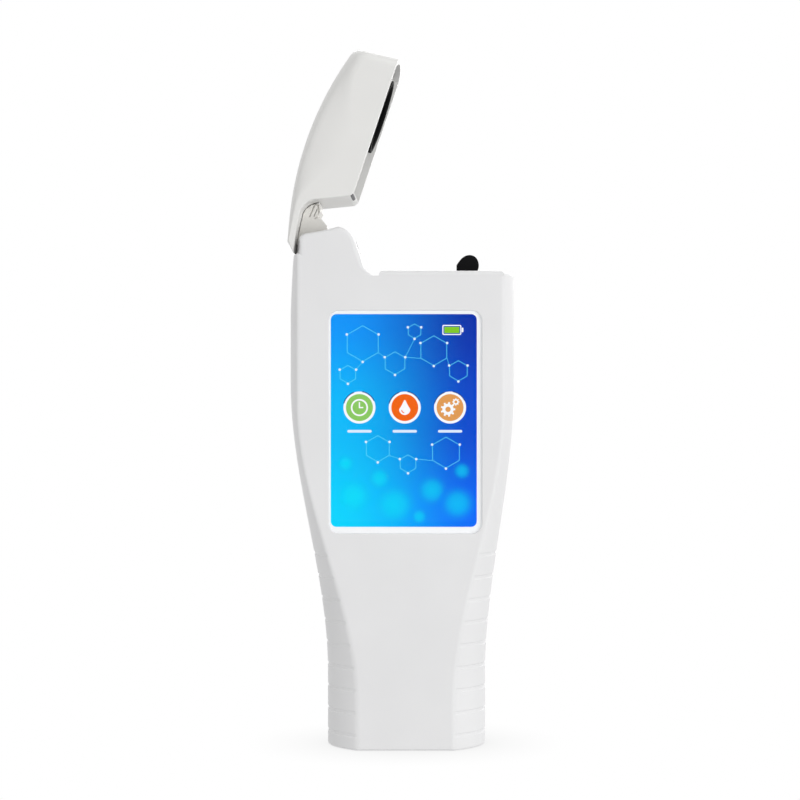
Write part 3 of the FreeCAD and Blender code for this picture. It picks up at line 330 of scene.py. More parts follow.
def spline(points, steps):
    # natural cubic through the points, by chord length
    count = len(points)
    knots = [0.0]
    for a, b in zip(points, points[1:]):
        knots.append(knots[-1] + math.dist(a, b))
    axes = []
    for axis in range(len(points[0])):
        values = [point[axis] for point in points]
        gaps = [knots[i + 1] - knots[i] for i in range(count - 1)]
        lower, middle, upper, right = [0.0] * count, [1.0] * count, [0.0] * count, [0.0] * count
        for i in range(1, count - 1):
            lower[i], middle[i], upper[i] = gaps[i - 1], 2 * (gaps[i - 1] + gaps[i]), gaps[i]
            right[i] = 6 * ((values[i + 1] - values[i]) / gaps[i] - (values[i] - values[i - 1]) / gaps[i - 1])
        for i in range(1, count):
            share = lower[i] / middle[i - 1]
            middle[i] -= share * upper[i - 1]
            right[i] -= share * right[i - 1]
        bends = [0.0] * count
        for i in range(count - 2, 0, -1):
            bends[i] = (right[i] - upper[i] * bends[i + 1]) / middle[i]
        axes.append((values, bends, gaps))
    found = []
    for step in range(steps + 1):
        spot = knots[-1] * step / steps
        i = max(j for j in range(count - 1) if knots[j] <= spot + 1e-9)
        left, rest = knots[i + 1] - spot, spot - knots[i]
        point = []
        for values, bends, gaps in axes:
            gap = gaps[i]
            point.append(bends[i] * left ** 3 / (6 * gap) + bends[i + 1] * rest ** 3 / (6 * gap)
                         + (values[i] / gap - bends[i] * gap / 6) * left
                         + (values[i + 1] / gap - bends[i + 1] * gap / 6) * rest)
        found.append(tuple(point))
    return found


def between(a, b, steps):
    # points from a towards b, without b
    return [tuple(p + (q - p) * step / steps for p, q in zip(a, b)) for step in range(steps)]


def arcThrough(a, b, c, steps):
    # points of the circle through a, b and c, without c
    ax, az = a
    bx, bz = b[0] - ax, b[1] - az
    cx, cz = c[0] - ax, c[1] - az
    area = 2 * (bx * cz - bz * cx)
    ux = (cz * (bx * bx + bz * bz) - bz * (cx * cx + cz * cz)) / area
    uz = (bx * (cx * cx + cz * cz) - cx * (bx * bx + bz * bz)) / area
    radius = math.hypot(ux, uz)
    start = math.atan2(-uz, -ux)
    finish = math.atan2(cz - uz, cx - ux)
    turn = (finish - start) % (2 * math.pi)
    if area < 0:
        turn -= 2 * math.pi
    return [(ax + ux + radius * math.cos(start + turn * step / steps),
             az + uz + radius * math.sin(start + turn * step / steps)) for step in range(steps)]


def arcBand(x, z, inner, outer, start, finish, steps=16):
    angles = [math.radians(start + (finish - start) * s / steps) for s in range(steps + 1)]
    return ([(x + outer * math.cos(a), z + outer * math.sin(a)) for a in angles]
            + [(x + inner * math.cos(a), z + inner * math.sin(a)) for a in reversed(angles)])


def bandLine(a, b, width):
    along = (Vector(b) - Vector(a)).normalized() * width / 2
    side = Vector((-along.y, along.x))
    return [tuple(Vector(a) + side), tuple(Vector(b) + side), tuple(Vector(b) - side), tuple(Vector(a) - side)]


def curve(a, b, c, t):
    return (1 - t) ** 2 * a + 2 * t * (1 - t) * b + t * t * c


def prism(name, outlines):
    # outlines are (depth y, [(x, z), ...]) pairs
    return addLoft(name, [[(x, y, z) for x, z in points] for y, points in outlines])


def softEnds(half, size, middle):
    # (depth, shrink) pairs of a form with rounded front and back edges
    front = [(-half, size), (-half + 0.1, middle), (-half + size, 0.0)]
    return front + [(-y, shrink) for y, shrink in reversed(front)]


def standing(name, outline, levels, spot=(0, 0)):
    # an outline in x and y, carried through heights
    return addLoft(name, [[(x, y, z) for x, y in moved(outline, *spot)] for z in levels])


def crosswise(name, outline, levels):
    # an outline in y and z, carried through places along x
    return addLoft(name, [[(x, y, z) for y, z in outline] for x in levels])


# the case: outline at height z and depth d behind the front face, as in the CAD form
caseForm = {
    "halfDepth": 18.5,
    "gripHalf": 27.1, "headLeft": 39.8, "headRight": 36.9,
    "gripFlat": 16.4, "flatLeft": 36.6, "flatRight": 33.2,
    "flareLeft": (25.0, 124.0), "flareRight": (24.0, 122.0), "flatFlare": (16.0, 116.0), "sidePower": 2.4,
    "leanFrom": 145.0, "lean": 1.1,
    "creaseRound": 1.1, "creaseDepth": 0.8, "baseRound": 0.7, "topRound": 1.6,
    "top": 159.8, "shoulder": 167.5, "crown": (-22.7, 176.4), "wallX": -36.2, "footX": -10.8,
    "grooves": 9, "groovePitch": 7.6, "grooveFirst": 4.9, "grooveHalf": 0.75, "grooveDepth": 0.26,
    "depths": (0, 0.03, 0.1, 0.22, 0.38, 0.58, 0.8, 1.15, 1.6, 2.3, 3.3, 4.8, 6.6, 8.8, 11.2, 13.8, 16.2, 18.3),
    "seam": 0.14, "supports": (0.02, 0.01067), "supportZ": 90.0,
}
hingeForm = {"x": -31.0, "z": 168.6, "slotHalf": 8.2, "slotFloor": 163.2, "back": 6.35}


def ease(z, span):
    t = min(max((z - span[0]) / (span[1] - span[0]), 0.0), 1.0)
    return t * t * (3 - 2 * t)


def sideReach(side, z, d):
    form = caseForm
    head, flat = (form["headLeft"], form["flatLeft"]) if side < 0 else (form["headRight"], form["flatRight"])
    wide = form["gripHalf"] + (head - form["gripHalf"]) * ease(z, form["flareLeft" if side < 0 else "flareRight"])
    if side < 0 and z > form["leanFrom"]:
        wide -= form["lean"] * ((z - form["leanFrom"]) / (form["shoulder"] - form["leanFrom"])) ** 1.6
    face = form["gripFlat"] + (flat - form["gripFlat"]) * ease(z, form["flatFlare"])
    return wide - (wide - face) * (1 - d / form["halfDepth"]) ** form["sidePower"]


def grooveDip(z, d):
    # a soft-edged groove, fading out at the crease
    form = caseForm
    index = round((z - form["grooveFirst"]) / form["groovePitch"])
    if index < 0 or index >= form["grooves"]:
        return 0.0
    away = abs(z - form["grooveFirst"] - index * form["groovePitch"]) / form["grooveHalf"]
    if away >= 1:
        return 0.0
    wallShare = min(1.0, (1 - away) / 0.5)
    fade = min(1.0, max(0.0, (d - 0.1) / 0.7))
    return form["grooveDepth"] * wallShare * wallShare * (3 - 2 * wallShare) * fade


def sideLine(side, z, d):
    # half width with the rounded crease, the grooves and the rounded base edge
    form = caseForm
    if d < form["creaseDepth"]:
        edge = sideReach(side, z, 0)
        x = curve(edge - form["creaseRound"], edge, sideReach(side, z, form["creaseDepth"]),
                  math.sqrt(d / form["creaseDepth"]))
    else:
        x = sideReach(side, z, d)
    x -= grooveDip(z, d)
    if z < form["baseRound"]:
        x -= form["baseRound"] - math.sqrt(form["baseRound"] ** 2 - (form["baseRound"] - z) ** 2)
    return side * x


def quarterInset(radius, d):
    return radius - math.sqrt(radius ** 2 - max(0.0, radius - d) ** 2)


def sideHeights(top):
    form = caseForm
    heights = [0, 0.08, 0.25, 0.5, 0.7, 1.6, 3.0]
    for index in range(form["grooves"]):
        centre = form["grooveFirst"] + index * form["groovePitch"]
        half = form["grooveHalf"]
        heights += [centre + half * share for share in (-1.25, -1, -0.86, -0.72, -0.58, -0.45, 0,
                                                        0.45, 0.58, 0.72, 0.86, 1, 1.25)]
        heights += [centre + half + share * (form["groovePitch"] - 2 * half) for share in (0.33, 0.66)]
    last = heights[-1]
    return heights + [last + (top - last) * step / 36 for step in range(1, 37)]


def caseOutline(d):
    form = caseForm
    drawn = quarterInset(form["topRound"], d)
    lift = quarterInset(form["baseRound"], d)
    top, shoulder, wallX, footX = form["top"], form["shoulder"], form["wallX"], form["footX"]
    crownX, crown = form["crown"]
    middle = Vector((crownX, shoulder - 4))

    def place(x, z):
        spot = Vector((x, z))
        return tuple(spot + (middle - spot).normalized() * drawn)

    rise = [place(x, z) for x, z in ((footX, top), (footX - 2.9, top + 2.6), (footX - 4.5, crown - 9.8),
                                     (footX - 5.8, crown - 6.3), (footX - 7.4, crown - 2.6),
                                     (footX - 9.6, crown - 0.7), (crownX, crown))]
    rise[0] = (rise[0][0], top)
    roof = [place(x, z) for x, z in ((crownX, crown), (crownX - 3.4, crown - 0.9), (crownX - 11, crown - 2.3))]
    right = [(sideLine(1, z, d), max(z, lift)) for z in sideHeights(top)]
    left = [(sideLine(-1, z, d), max(z, lift)) for z in sideHeights(shoulder - drawn)]
    ledge = (max(wallX - 1.4 + drawn, left[-1][0] + 1.1), shoulder - drawn)
    corner = [roof[-1]]         # the back of the hump is round about the hinge, and stays over its ledge
    for turn in (128, 142, 156, 169, 180):
        x, z = place(hingeForm["x"] + hingeForm["back"] * math.cos(math.radians(turn)),
                     hingeForm["z"] + hingeForm["back"] * math.sin(math.radians(turn)))
        corner.append((max(x, ledge[0] + 0.12), z))
    points = between(left[0], right[0], 24)
    points += right
    points += between(right[-1], rise[0], 20)[1:]
    points += spline(rise, 30)[:-1] + spline(roof, 12)[:-1] + spline(corner, 8)
    points += between(corner[-1], ledge, 4)[1:]
    edge = left[-1]
    turn = (edge[0] + 0.9, edge[1])
    points += between(ledge, turn, 3) + [turn, (edge[0] + 0.3, edge[1] - 0.15)]
    left[-1] = (edge[0] + 0.05, edge[1] - 0.45)
    points += left[::-1][:-1]
    return points


def caseHalf(name, rear):
    form = caseForm
    sign = 1 if rear else -1
    half, centre = form["halfDepth"], form["supportZ"]
    face = caseOutline(0)
    rings = []
    for inset in form["supports"]:      # flat rings inside the rounded edge keep the front face even
        rings.append([(x - x * inset, sign * half, z - (z - centre) * inset) for x, z in face])
    for d in form["depths"]:
        rings.append([(x, sign * (half - d), z) for x, z in caseOutline(d)])
    seam = [(x - math.copysign(form["seam"], x), z) for x, z in caseOutline(half)]
    rings += [[(x, sign * y, z) for x, z in seam] for y in (0.02, 0)]
    return addLoft(name, rings)


def boxTool(x1, x2, y1, y2, z1, z2):
    points = [(x1, z1), (x2, z1), (x2, z2), (x1, z2)]
    return prism("tool", [(y1, points), (y2, points)])


windowForm = {"width": 51.4, "height": 75.1, "midZ": 110.5, "radius": 3.5, "edge": 0.4, "floorY": -12.2}


def windowTool():
    form = windowForm
    half = caseForm["halfDepth"]
    stops = [(-half - 1, form["edge"] * 2), (-half - 0.01, form["edge"])]
    stops += [(-half + rise, run) for rise, run in rounding(form["edge"])[1:]] + [(form["floorY"], 0)]
    outlines = []
    for y, grow in stops:
        points = roundedOutline(form["width"] + 2 * grow, form["height"] + 2 * grow, form["radius"] + grow)
        outlines.append((y, moved(points, 0, form["midZ"])))
    return prism("tool", outlines)


def slotTools():
    form, case = hingeForm, caseForm
    half = form["slotHalf"]
    return [boxTool(case["wallX"] + 0.5, case["footX"] - 7, -half, half, form["slotFloor"], 200),
            boxTool(-60, case["footX"] + 4, -half, half, case["shoulder"], 200)]


screwForm = {
    "spots": [(side * x, z) for x, z in ((31.0, 151.0), (21.0, 64.0), (13.5, 8.0)) for side in (-1, 1)],
    "hole": ((18.8, 2.5), (18.5, 2.2), (18.2, 1.9), (12.5, 1.9)),
    "head": ((14.55, 1.75), (14.6, 1.8), (15.4, 1.8), (15.75, 1.6), (15.95, 1.2), (16.0, 0.9)),
    "cross": (0.95, 0.19), "crossLow": 15.3,
}
wellForm = {"spot": (21.0, 3.0), "bore": 6.3, "wall": 1.1, "collar": 10.0, "collarHigh": 1.2, "fit": 0.2,
            "bottom": 80.5, "floor": 1.5, "deckTop": 161.5, "deckLow": 159.8}


def wellTool():
    low = wellForm["deckLow"]
    return addLoft("tool", turned([(9.6, low - 6), (9.6, low + 3)], 48, wellForm["spot"]))


caseFront = caseHalf("caseFront", False)
combine(caseFront, [windowTool()] + slotTools() + [wellTool()])
settle(caseFront, "shell", "housing", ["front_shell"], crease=30)

keyForm = {"y": 5.5, "z": 128.0, "width": 6.0, "length": 14.0, "gap": 0.25, "travelDeep": -33.0,
           "face": -39.12, "back": -36.0}
portForm = {"y": 4.8, "width": 9.0, "depth": 3.2, "gap": 0.3, "low": 0.4, "high": 7.7}


def rearTools():
    tools = slotTools() + [wellTool()]
    for x, z in screwForm["spots"]:
        tools.append(prism("tool", [(y, circle(x, z, r, 32)) for y, r in screwForm["hole"]]))
    key, port = keyForm, portForm
    points = roundedOutline(key["width"] + 2 * key["gap"], key["length"] + 2 * key["gap"], 1.2)
    tools.append(crosswise("tool", moved(points, key["y"], key["z"]), (-50, key["travelDeep"])))
    deep = port["depth"] + 2 * port["gap"]
    points = roundedOutline(port["width"] + 2 * port["gap"], deep, deep * 0.49)
    tools.append(standing("tool", points, (-1, 9), (0, port["y"])))
    return tools


caseRear = caseHalf("caseRear", True)
combine(caseRear, rearTools())
settle(caseRear, "shell", "housing", ["rear_shell"], crease=30)
print("case halves ready")

# deck plate with a rounded upper edge and the seat of the swab holder
deckForm = {"left": -8.9, "round": 1.45, "low": 159.8, "top": 161.5}


def deckRing(z, drawn):
    half = caseForm["halfDepth"]
    front = []
    for step in range(23):
        share = (step / 22) ** 1.6
        front.append((sideReach(1, deckForm["low"], half * share) - drawn, (half - drawn) * (share - 1)))
    right = front + [(x, -y) for x, y in front[:-1]][::-1]
    start, end = (deckForm["left"] + 0.9 * drawn, -half + drawn), (deckForm["left"] + 0.9 * drawn, half - drawn)
    points = between(start, right[0], 12) + right + between(right[-1], end, 12)[1:] + between(end, start, 8)
    return [(x, y, z) for x, y in points]


def deckPiece():
    form = deckForm
    top, well = form["top"], wellForm
    levels = [(form["low"] + 0.01, 0.0)] + [(top - run, rise) for rise, run in rounding(form["round"])]
    levels.append((top, form["round"] + 0.6))
    plate = addLoft("deckPlate", [deckRing(z, drawn) for z, drawn in levels])
    seat = well["collar"] + well["fit"]
    bore = well["bore"] + well["wall"] + well["fit"]
    floor = top - well["collarHigh"]
    profiles = ([(seat, floor), (seat, top - 0.25), (seat + 0.25, top), (seat + 1.25, top + 1)],
                [(bore, form["low"] - 2), (bore, floor + 0.5)])
    combine(plate, [addLoft("tool", turned(profile, centre=well["spot"])) for profile in profiles])
    settle(plate, "shell", "housing", ["deck_plate"], crease=30)


deckPiece()
print("deck ready")

# swab holder: tube, floor and collar turned in one, with the pull lug at the front of the collar
lugForm = {"width": 7.6, "thick": 2.6, "high": 6.1,
           "outline": ((-0.5, 0), (0.37, 0), (0.5, 0.34), (0.49, 0.6), (0.36, 0.88), (0.12, 1), (-0.12, 0.94),
                       (-0.5, 0.46))}


def holderPiece():
    form, lug = wellForm, lugForm
    bore, collar, top, low = form["bore"], form["collar"], form["deckTop"], form["bottom"]
    outer, under, floor = bore + form["wall"], top - form["collarHigh"], low + form["floor"]
    soft = 0.3
    profile = [(0.01, low), (outer - soft, low), (outer, low + soft), (outer, under), (collar - 0.1, under),
               (collar, under + 0.1), (collar, top - soft), (collar - 0.1, top - 0.1), (collar - soft, top),
               (bore + 0.6, top), (bore + 0.17, top - 0.17), (bore, top - 0.6), (bore, floor + 1), (bore - 1, floor),
               (0.01, floor)]
    holder = addLoft("swabHolder", turned(profile, centre=form["spot"]))
    outline = [(x * lug["width"], z * lug["high"]) for x, z in lug["outline"]]
    smooth = [outline[0]] + spline(outline[1:], 40)
    centreX, y = form["spot"]
    points = [(centreX + x, top - 0.3 + z * (1 + 0.3 / lug["high"])) for x, z in smooth]
    half, centreZ = lug["thick"] / 2, top + lug["high"] * 0.45
    outlines = []
    for depth, shrink in ((-half, 0.10), (0.12 - half, 0.045), (0.35 - half, 0.0), (half - 0.35, 0.0),
                          (half - 0.12, 0.045), (half, 0.10)):
        ring = [(x + (centreX - x) * shrink, z + (centreZ - z) * shrink if z > top else z) for x, z in points]
        outlines.append((y - collar + 0.7 + half + depth, ring))
    combine(holder, [prism("tool", outlines)], "UNION")
    settle(holder, "black", "holder", ["swab_holder"], crease=35)


holderPiece()
print("swab holder ready")

# the lid, drawn shut and turned back to the open pose
lidForm = {
    "rim": 161.8, "top": 184.0, "crownX": 2.3, "tipX": 41.9, "endX": -9.6, "heel": (-34.0, 174.9),
    "nape": (-31.0, 178.55), "step": (-26.0, 176.3), "corner": 1.9, "dome": 9.0, "domeDepth": 2.8,
    "under": 176.9, "bevel": 4.0, "wall": 2.0, "softInset": 2.2, "softDepth": 2.6,
    "depths": (0, 0.05, 0.2, 0.45, 0.8, 1.3, 1.9, 2.6, 3.6, 5.0, 6.8, 9.0, 11.6, 14.4, 18.5),
}


def lidDraw(d, soft):
    form = lidForm
    half = caseForm["halfDepth"]

    def plain(depth):
        return form["bevel"] * (1 - depth / half) ** caseForm["sidePower"]

    if not soft or d >= form["softDepth"]:
        return plain(d)
    return curve(plain(0) + form["softInset"], plain(0), plain(form["softDepth"]), math.sqrt(d / form["softDepth"]))


def domeInset(d):
    # how far the flat of the front face is drawn in from the long curved edge
    form = lidForm
    return form["dome"] * (1 - math.sqrt(min(1.0, max(0.0, d) / form["domeDepth"])))


def lidOutline(d):
    form = lidForm
    g = lidDraw(d, True)
    tip, top, end, rim = form["tipX"], form["top"], form["endX"], form["rim"]
    edge = quarterInset(0.5, d)
    heel = (form["heel"][0] + edge, form["heel"][1] + 0.4 * edge)
    nape = (form["nape"][0] + 0.6 * edge, form["nape"][1] - 0.2 * g)
    step = (form["step"][0], form["step"][1] + 0.4 * edge)
    crown = (form["crownX"], top - 0.9 * g)
    brow = (tip - 4.9 - 0.8 * g, top - 5.1 - 0.9 * g)
    bend = (tip - 2.6 - 0.83 * g, top - 6.7 - 0.8 * g)
    chin = (tip - 1.5 - 0.85 * g, top - 9.4 - 0.65 * g)
    lip, foot = (tip - g, rim + edge), (end + edge, rim + edge)
    knee, hollow = (end - 4.7 + edge, rim + 10.4), (end - 6.4 + edge, rim + 13.3 + edge)
    neck = (end - 10.4, form["under"] + edge)
    back = arcThrough(nape, crown, brow, 56)
    middle = Vector((crown[0] + 8, top - 70))
    domed = []
    for index, spot in enumerate(back):
        share = ease(index, (11, 27)) * (1 - ease(index, (34, 56)))
        inward = (middle - Vector(spot)).normalized() * domeInset(d) * share
        domed.append((spot[0] + inward.x, spot[1] + inward.y))
    round1 = Vector(foot) + (Vector(lip) - Vector(foot)).normalized() * form["corner"]
    round2 = Vector(foot) + (Vector(knee) - Vector(foot)).normalized() * form["corner"]
    bow = [tuple(curve(round1, Vector(foot), round2, count / 6)) for count in range(7)]
    points = between(heel, nape, 6) + domed + arcThrough(brow, bend, chin, 12)
    points += between(chin, lip, 12) + between(lip, bow[0], 36) + bow + between(bow[-1], knee, 10)[1:]
    points += arcThrough(knee, hollow, neck, 12) + between(neck, step, 8) + between(step, heel, 8)
    return points


def lidHollow(d):
    form = lidForm
    g = lidDraw(d, False)
    drawn = domeInset(d - form["wall"] + 0.2)
    wall, tip, top, end, rim = form["wall"], form["tipX"], form["top"], form["endX"], form["rim"]
    foot, knee = (end + wall, rim - 2), (end - 4.5 + wall, rim + 10.4)
    back = (end - 4.0 + wall, top - 0.9 - wall - 0.75 * g - 0.9 * drawn)
    crown = (form["crownX"] + 10, top - 0.4 - wall - 0.9 * g - drawn)
    brow = (tip - 3.7 - wall - 0.83 * g, top - 5.2 - wall - 0.9 * g - 0.3 * drawn)
    lip = (tip - 0.1 - wall - g, rim - 2)
    points = between(foot, knee, 6) + between(knee, back, 4) + arcThrough(back, crown, brow, 30)
    return points + between(brow, lip, 8) + between(lip, foot, 20)


def opened(piece):
    # from the shut drawing to the open place, about the hinge axis
    pivot = Vector((hingeForm["x"], 0, hingeForm["z"])) * mm
    turn = Matrix.Rotation(math.radians(-lidJoint["range_deg"][1]), 4, "Y")
    piece.data.transform(Matrix.Translation(pivot) @ turn @ Matrix.Translation(-pivot))
    return piece


armForm = {
    "half": 7.6, "barrel": 4.2, "hook": 10.0, "gap": 0.75,
    "hookTop": ((1.04, 0.012), (0.84, 0.06), (0.66, 0.19), (0.55, 0.38)),
    "hookLow": ((0.52, 1.07), (0.77, 0.95), (0.98, 0.99), (1.02, 0.83), (1.18, 0.58)),
    "blockSeams": (((-30.9, 185.4), (-33.0, 180.4), 0.42), ((-29.75, 184.6), (-31.5, 180.6), 0.3)),
    "blockArc": (-33.4, 182.6, 3.35, 3.8, -52, 38),
}
padForm = {"spot": (-9.12, 162.53), "long": 1.2, "wide": 1.02, "turn": -32, "front": -17.2, "back": 0.5}


def bothFaces(outline, depths):
    # (depth y, outline) pairs from the front face to the back one
    half = caseForm["halfDepth"]
    return [(d - half, outline(d)) for d in depths] + [(half - d, outline(d)) for d in reversed(depths[:-1])]


def hollowTool(wall):
    # the room inside the lid, as far as the given wall
    depths = [wall + (caseForm["halfDepth"] - wall) * share for share in (0, 0.05, 0.12, 0.24, 0.4, 0.62, 1.0)]
    return prism("tool", bothFaces(lidHollow, depths))


def lidPiece():
    shell = prism("lidShell", bothFaces(lidOutline, lidForm["depths"]))
    combine(shell, [hollowTool(lidForm["wall"])])
    front, back = padForm["front"], padForm["back"]
    combine(shell, [prism("tool", [(front - 0.05, padOutline(0.05)), (back + 0.05, padOutline(0.05))])])
    opened(shell)
    pad = opened(prism("lidPad", [(front, padOutline(-0.1)), (front + 0.12, padOutline(0)),
                                  (back - 0.12, padOutline(0)), (back, padOutline(-0.1))]))
    settle(pad, "dark", "lid", crease=30)
    settle(shell, "lid", "lid", ["lid_shell"], crease=34, edge=0.22)


def padOutline(grow):
    # the small dark rest let into the rounded lower corner of the lid
    form = padForm
    turn = math.radians(form["turn"])
    points = roundedOutline(form["long"] + 2 * grow, form["wide"] + 2 * grow, 0.4, 5)
    return moved([(x * math.cos(turn) - z * math.sin(turn), x * math.sin(turn) + z * math.cos(turn))
                  for x, z in points], *form["spot"])


def armPiece():
    form, lid = armForm, lidForm
    px, pz, end = hingeForm["x"], hingeForm["z"], lid["endX"]
    half, barrel, hook = form["half"], form["barrel"], form["hook"]
    corners = [(px - 0.36 * barrel, pz + 0.81 * barrel), (px + 0.1 * barrel, lid["step"][1] - form["gap"]),
               (lid["step"][0] + 0.5, lid["step"][1] - 0.1)]
    corners += [(end - a * hook, lid["under"] - b * hook) for a, b in form["hookTop"]]
    corners += [(end - a * hook, lid["rim"] + b * hook) for a, b in form["hookLow"]]
    corners.append((px + 0.36 * barrel, pz - 0.81 * barrel))
    corners = [Vector(corner) for corner in corners]
    middle = sum(corners, Vector((0, 0))) / len(corners)
    arm = prism("hingeArm", [(y, [corner + (middle - corner).normalized() * shrink for corner in corners])
                             for y, shrink in softEnds(half, 0.3, 0.12)])
    combine(arm, [prism("tool", [(y, circle(px, pz, barrel - shrink)) for y, shrink in softEnds(half, 0.3, 0.1)])],
            "UNION")
    opened(arm)
    seams = [bandLine(a, b, wide) for a, b, wide in form["blockSeams"]] + [arcBand(*form["blockArc"])]
    combine(arm, [prism("tool", [(-half - 1, points), (-half + 0.7, points)]) for points in seams])
    settle(arm, "arm", "lid", ["hinge_arm"], crease=28)


lidPiece()
armPiece()
print("lid ready")

shroudForm = {"outer": 13.0, "wall": 1.4, "foam": 1.5, "drawn": 0.42, "soft": 0.35}


def ringPiece(name, profile):
    # a closed profile turned round the well's axis
    ring = addLoft(name, turned(profile + profile[:1], centre=wellForm["spot"]), closed=False)
    cleared(ring.data, 0.001)
    return ring


def shroudPieces():
    form, lid = shroudForm, lidForm
    outer, inner, soft = form["outer"], form["outer"] - form["wall"], form["soft"]
    low, top, rim = lid["rim"] + form["foam"], lid["top"] + 1, lid["rim"] + form["drawn"]
    tube = ringPiece("lightShroud", [(outer, low), (outer, top), (inner, top), (inner, low)])
    combine(tube, [hollowTool(lid["wall"] + 0.02)], "INTERSECT")
    settle(opened(tube), "black", "lid", ["light_shroud"], crease=32)
    foam = ringPiece("shroudFoam", [
        (outer - soft, low), (outer - 0.08, low - 0.1), (outer, low - soft), (outer, rim + soft),
        (outer - 0.1, rim + 0.1), (outer - soft, rim), (inner + soft, rim), (inner + 0.1, rim + 0.1),
        (inner, rim + soft), (inner, low - soft), (inner + 0.08, low - 0.1), (inner + soft, low)])
    settle(opened(foam), "foam", "lid", ["shroud_foam"], crease=40)


shroudPieces()
print("lid fittings ready")


# display: clear panel, printed border, lit module with its drawing
def linear(red, green, blue):
    parts = [part / 255 for part in (red, green, blue)]
    return tuple(part / 12.92 if part <= 0.04045 else ((part + 0.055) / 1.055) ** 2.4 for part in parts)


def glowing(name, colour, cover=1.0):
    # a lit ink; cover under 1 lets the picture behind it show through
    material, nodes, links, surface = bareMaterial(name)
    shine = nodes.new("ShaderNodeEmission")
    cells = addNoise(nodes, links, 1500, 1)
    links.new(addTint(nodes, links, cells.outputs["Fac"], [part * 0.97 for part in colour], colour),
              shine.inputs["Color"])
    if cover < 1:
        shine = addBlend(nodes, links, cover, nodes.new("ShaderNodeBsdfTransparent"), shine)
    links.new(shine.outputs[0], surface)
    return material


displayForm = {
    "left": -25.2, "right": 24.0, "low": 75.2, "high": 146.9, "corner": 1.9,
    "panelHalf": 26.3, "panelLow": 72.2, "panelHigh": 150.6, "panelFront": -17.4, "panelBack": -16.55,
    "borderFront": -17.32, "borderBack": -17.2, "moduleHalf": 26.1, "moduleLow": 73.6, "moduleHigh": 151.6,
    "moduleFront": -15.8, "moduleBack": -12.8, "glow": 1.0, "gasketGap": 0.25,
    "topLeft": (10, 148, 250), "topRight": (4, 48, 168), "middleLeft": (4, 186, 250), "middleRight": (6, 72, 204),
    "lowLeft": (0, 212, 254), "lowRight": (8, 108, 248),
}


def pictureMaterial():
    form = displayForm
    material, nodes, links, shader = newMaterial("litPicture")
    place = nodes.new("ShaderNodeTexCoord")
    split = nodes.new("ShaderNodeSeparateXYZ")
    links.new(place.outputs["Object"], split.inputs[0])

    def span(axis, low, high):
        node = nodes.new("ShaderNodeMapRange")
        node.interpolation_type = "SMOOTHSTEP"
        node.inputs["From Min"].default_value = low * mm
        node.inputs["From Max"].default_value = high * mm
        links.new(split.outputs[axis], node.inputs["Value"])
        return node.outputs["Result"]

    def mixed(share, first, second):
        node = nodes.new("ShaderNodeMix")
        node.data_type = "RGBA"
        links.new(share, node.inputs["Factor"])
        for socket, colour in ((node.inputs[6], first), (node.inputs[7], second)):
            if isinstance(colour, tuple):
                socket.default_value = (*linear(*colour), 1)
            else:
                links.new(colour, socket)
        return node.outputs[2]

    across = span("X", form["left"], form["right"])
    middle = (form["low"] + form["high"]) / 2
    lower, upper = span("Z", form["low"], middle), span("Z", middle, form["high"])
    low = mixed(across, form["lowLeft"], form["lowRight"])
    centre = mixed(across, form["middleLeft"], form["middleRight"])
    top = mixed(across, form["topLeft"], form["topRight"])
    colour = mixed(upper, mixed(lower, low, centre), top)
    links.new(colour, shader.inputs["Emission Color"])
    shader.inputs["Specular IOR Level"].default_value = 0.03
    shader.inputs["Emission Strength"].default_value = form["glow"]
    shader.inputs["Base Color"].default_value = (0.002, 0.002, 0.004, 1)
    shader.inputs["Roughness"].default_value = 0.3
    return material


def paneMaterial():
    # thin clear sheet: lets light straight through and mirrors a little at its surface
    material, nodes, links, surface = bareMaterial("clearPanel")
    mirror = nodes.new("ShaderNodeBsdfGlossy")
    smear = addNoise(nodes, links, 80, 2)
    links.new(addRange(nodes, links, smear.outputs["Fac"], 0.03, 0.07), mirror.inputs["Roughness"])
    edge = nodes.new("ShaderNodeFresnel")
    edge.inputs["IOR"].default_value = 1.1
    blend = addBlend(nodes, links, edge.outputs[0], nodes.new("ShaderNodeBsdfTransparent"), mirror)
    links.new(blend.outputs[0], surface)
    return material


def slab(name, extent, radius, y1, y2, soft=0.15):
    # a flat plate with rounded corners and edges; extent is (left, right, low, high)
    left, right, low, high = extent
    width, height = right - left, high - low
    points = roundedOutline(width, height, radius, 6)
    outlines = []
    for y, shrink in ((y1, soft), (y1 + 0.3 * soft, 0.3 * soft), (y1 + soft, 0), (y2 - soft, 0),
                      (y2 - 0.3 * soft, 0.3 * soft), (y2, soft)):
        ring = [(x * (1 - 2 * shrink / width), z * (1 - 2 * shrink / height)) for x, z in points]
        outlines.append((y, moved(ring, (left + right) / 2, (low + high) / 2)))
    return prism(name, outlines)


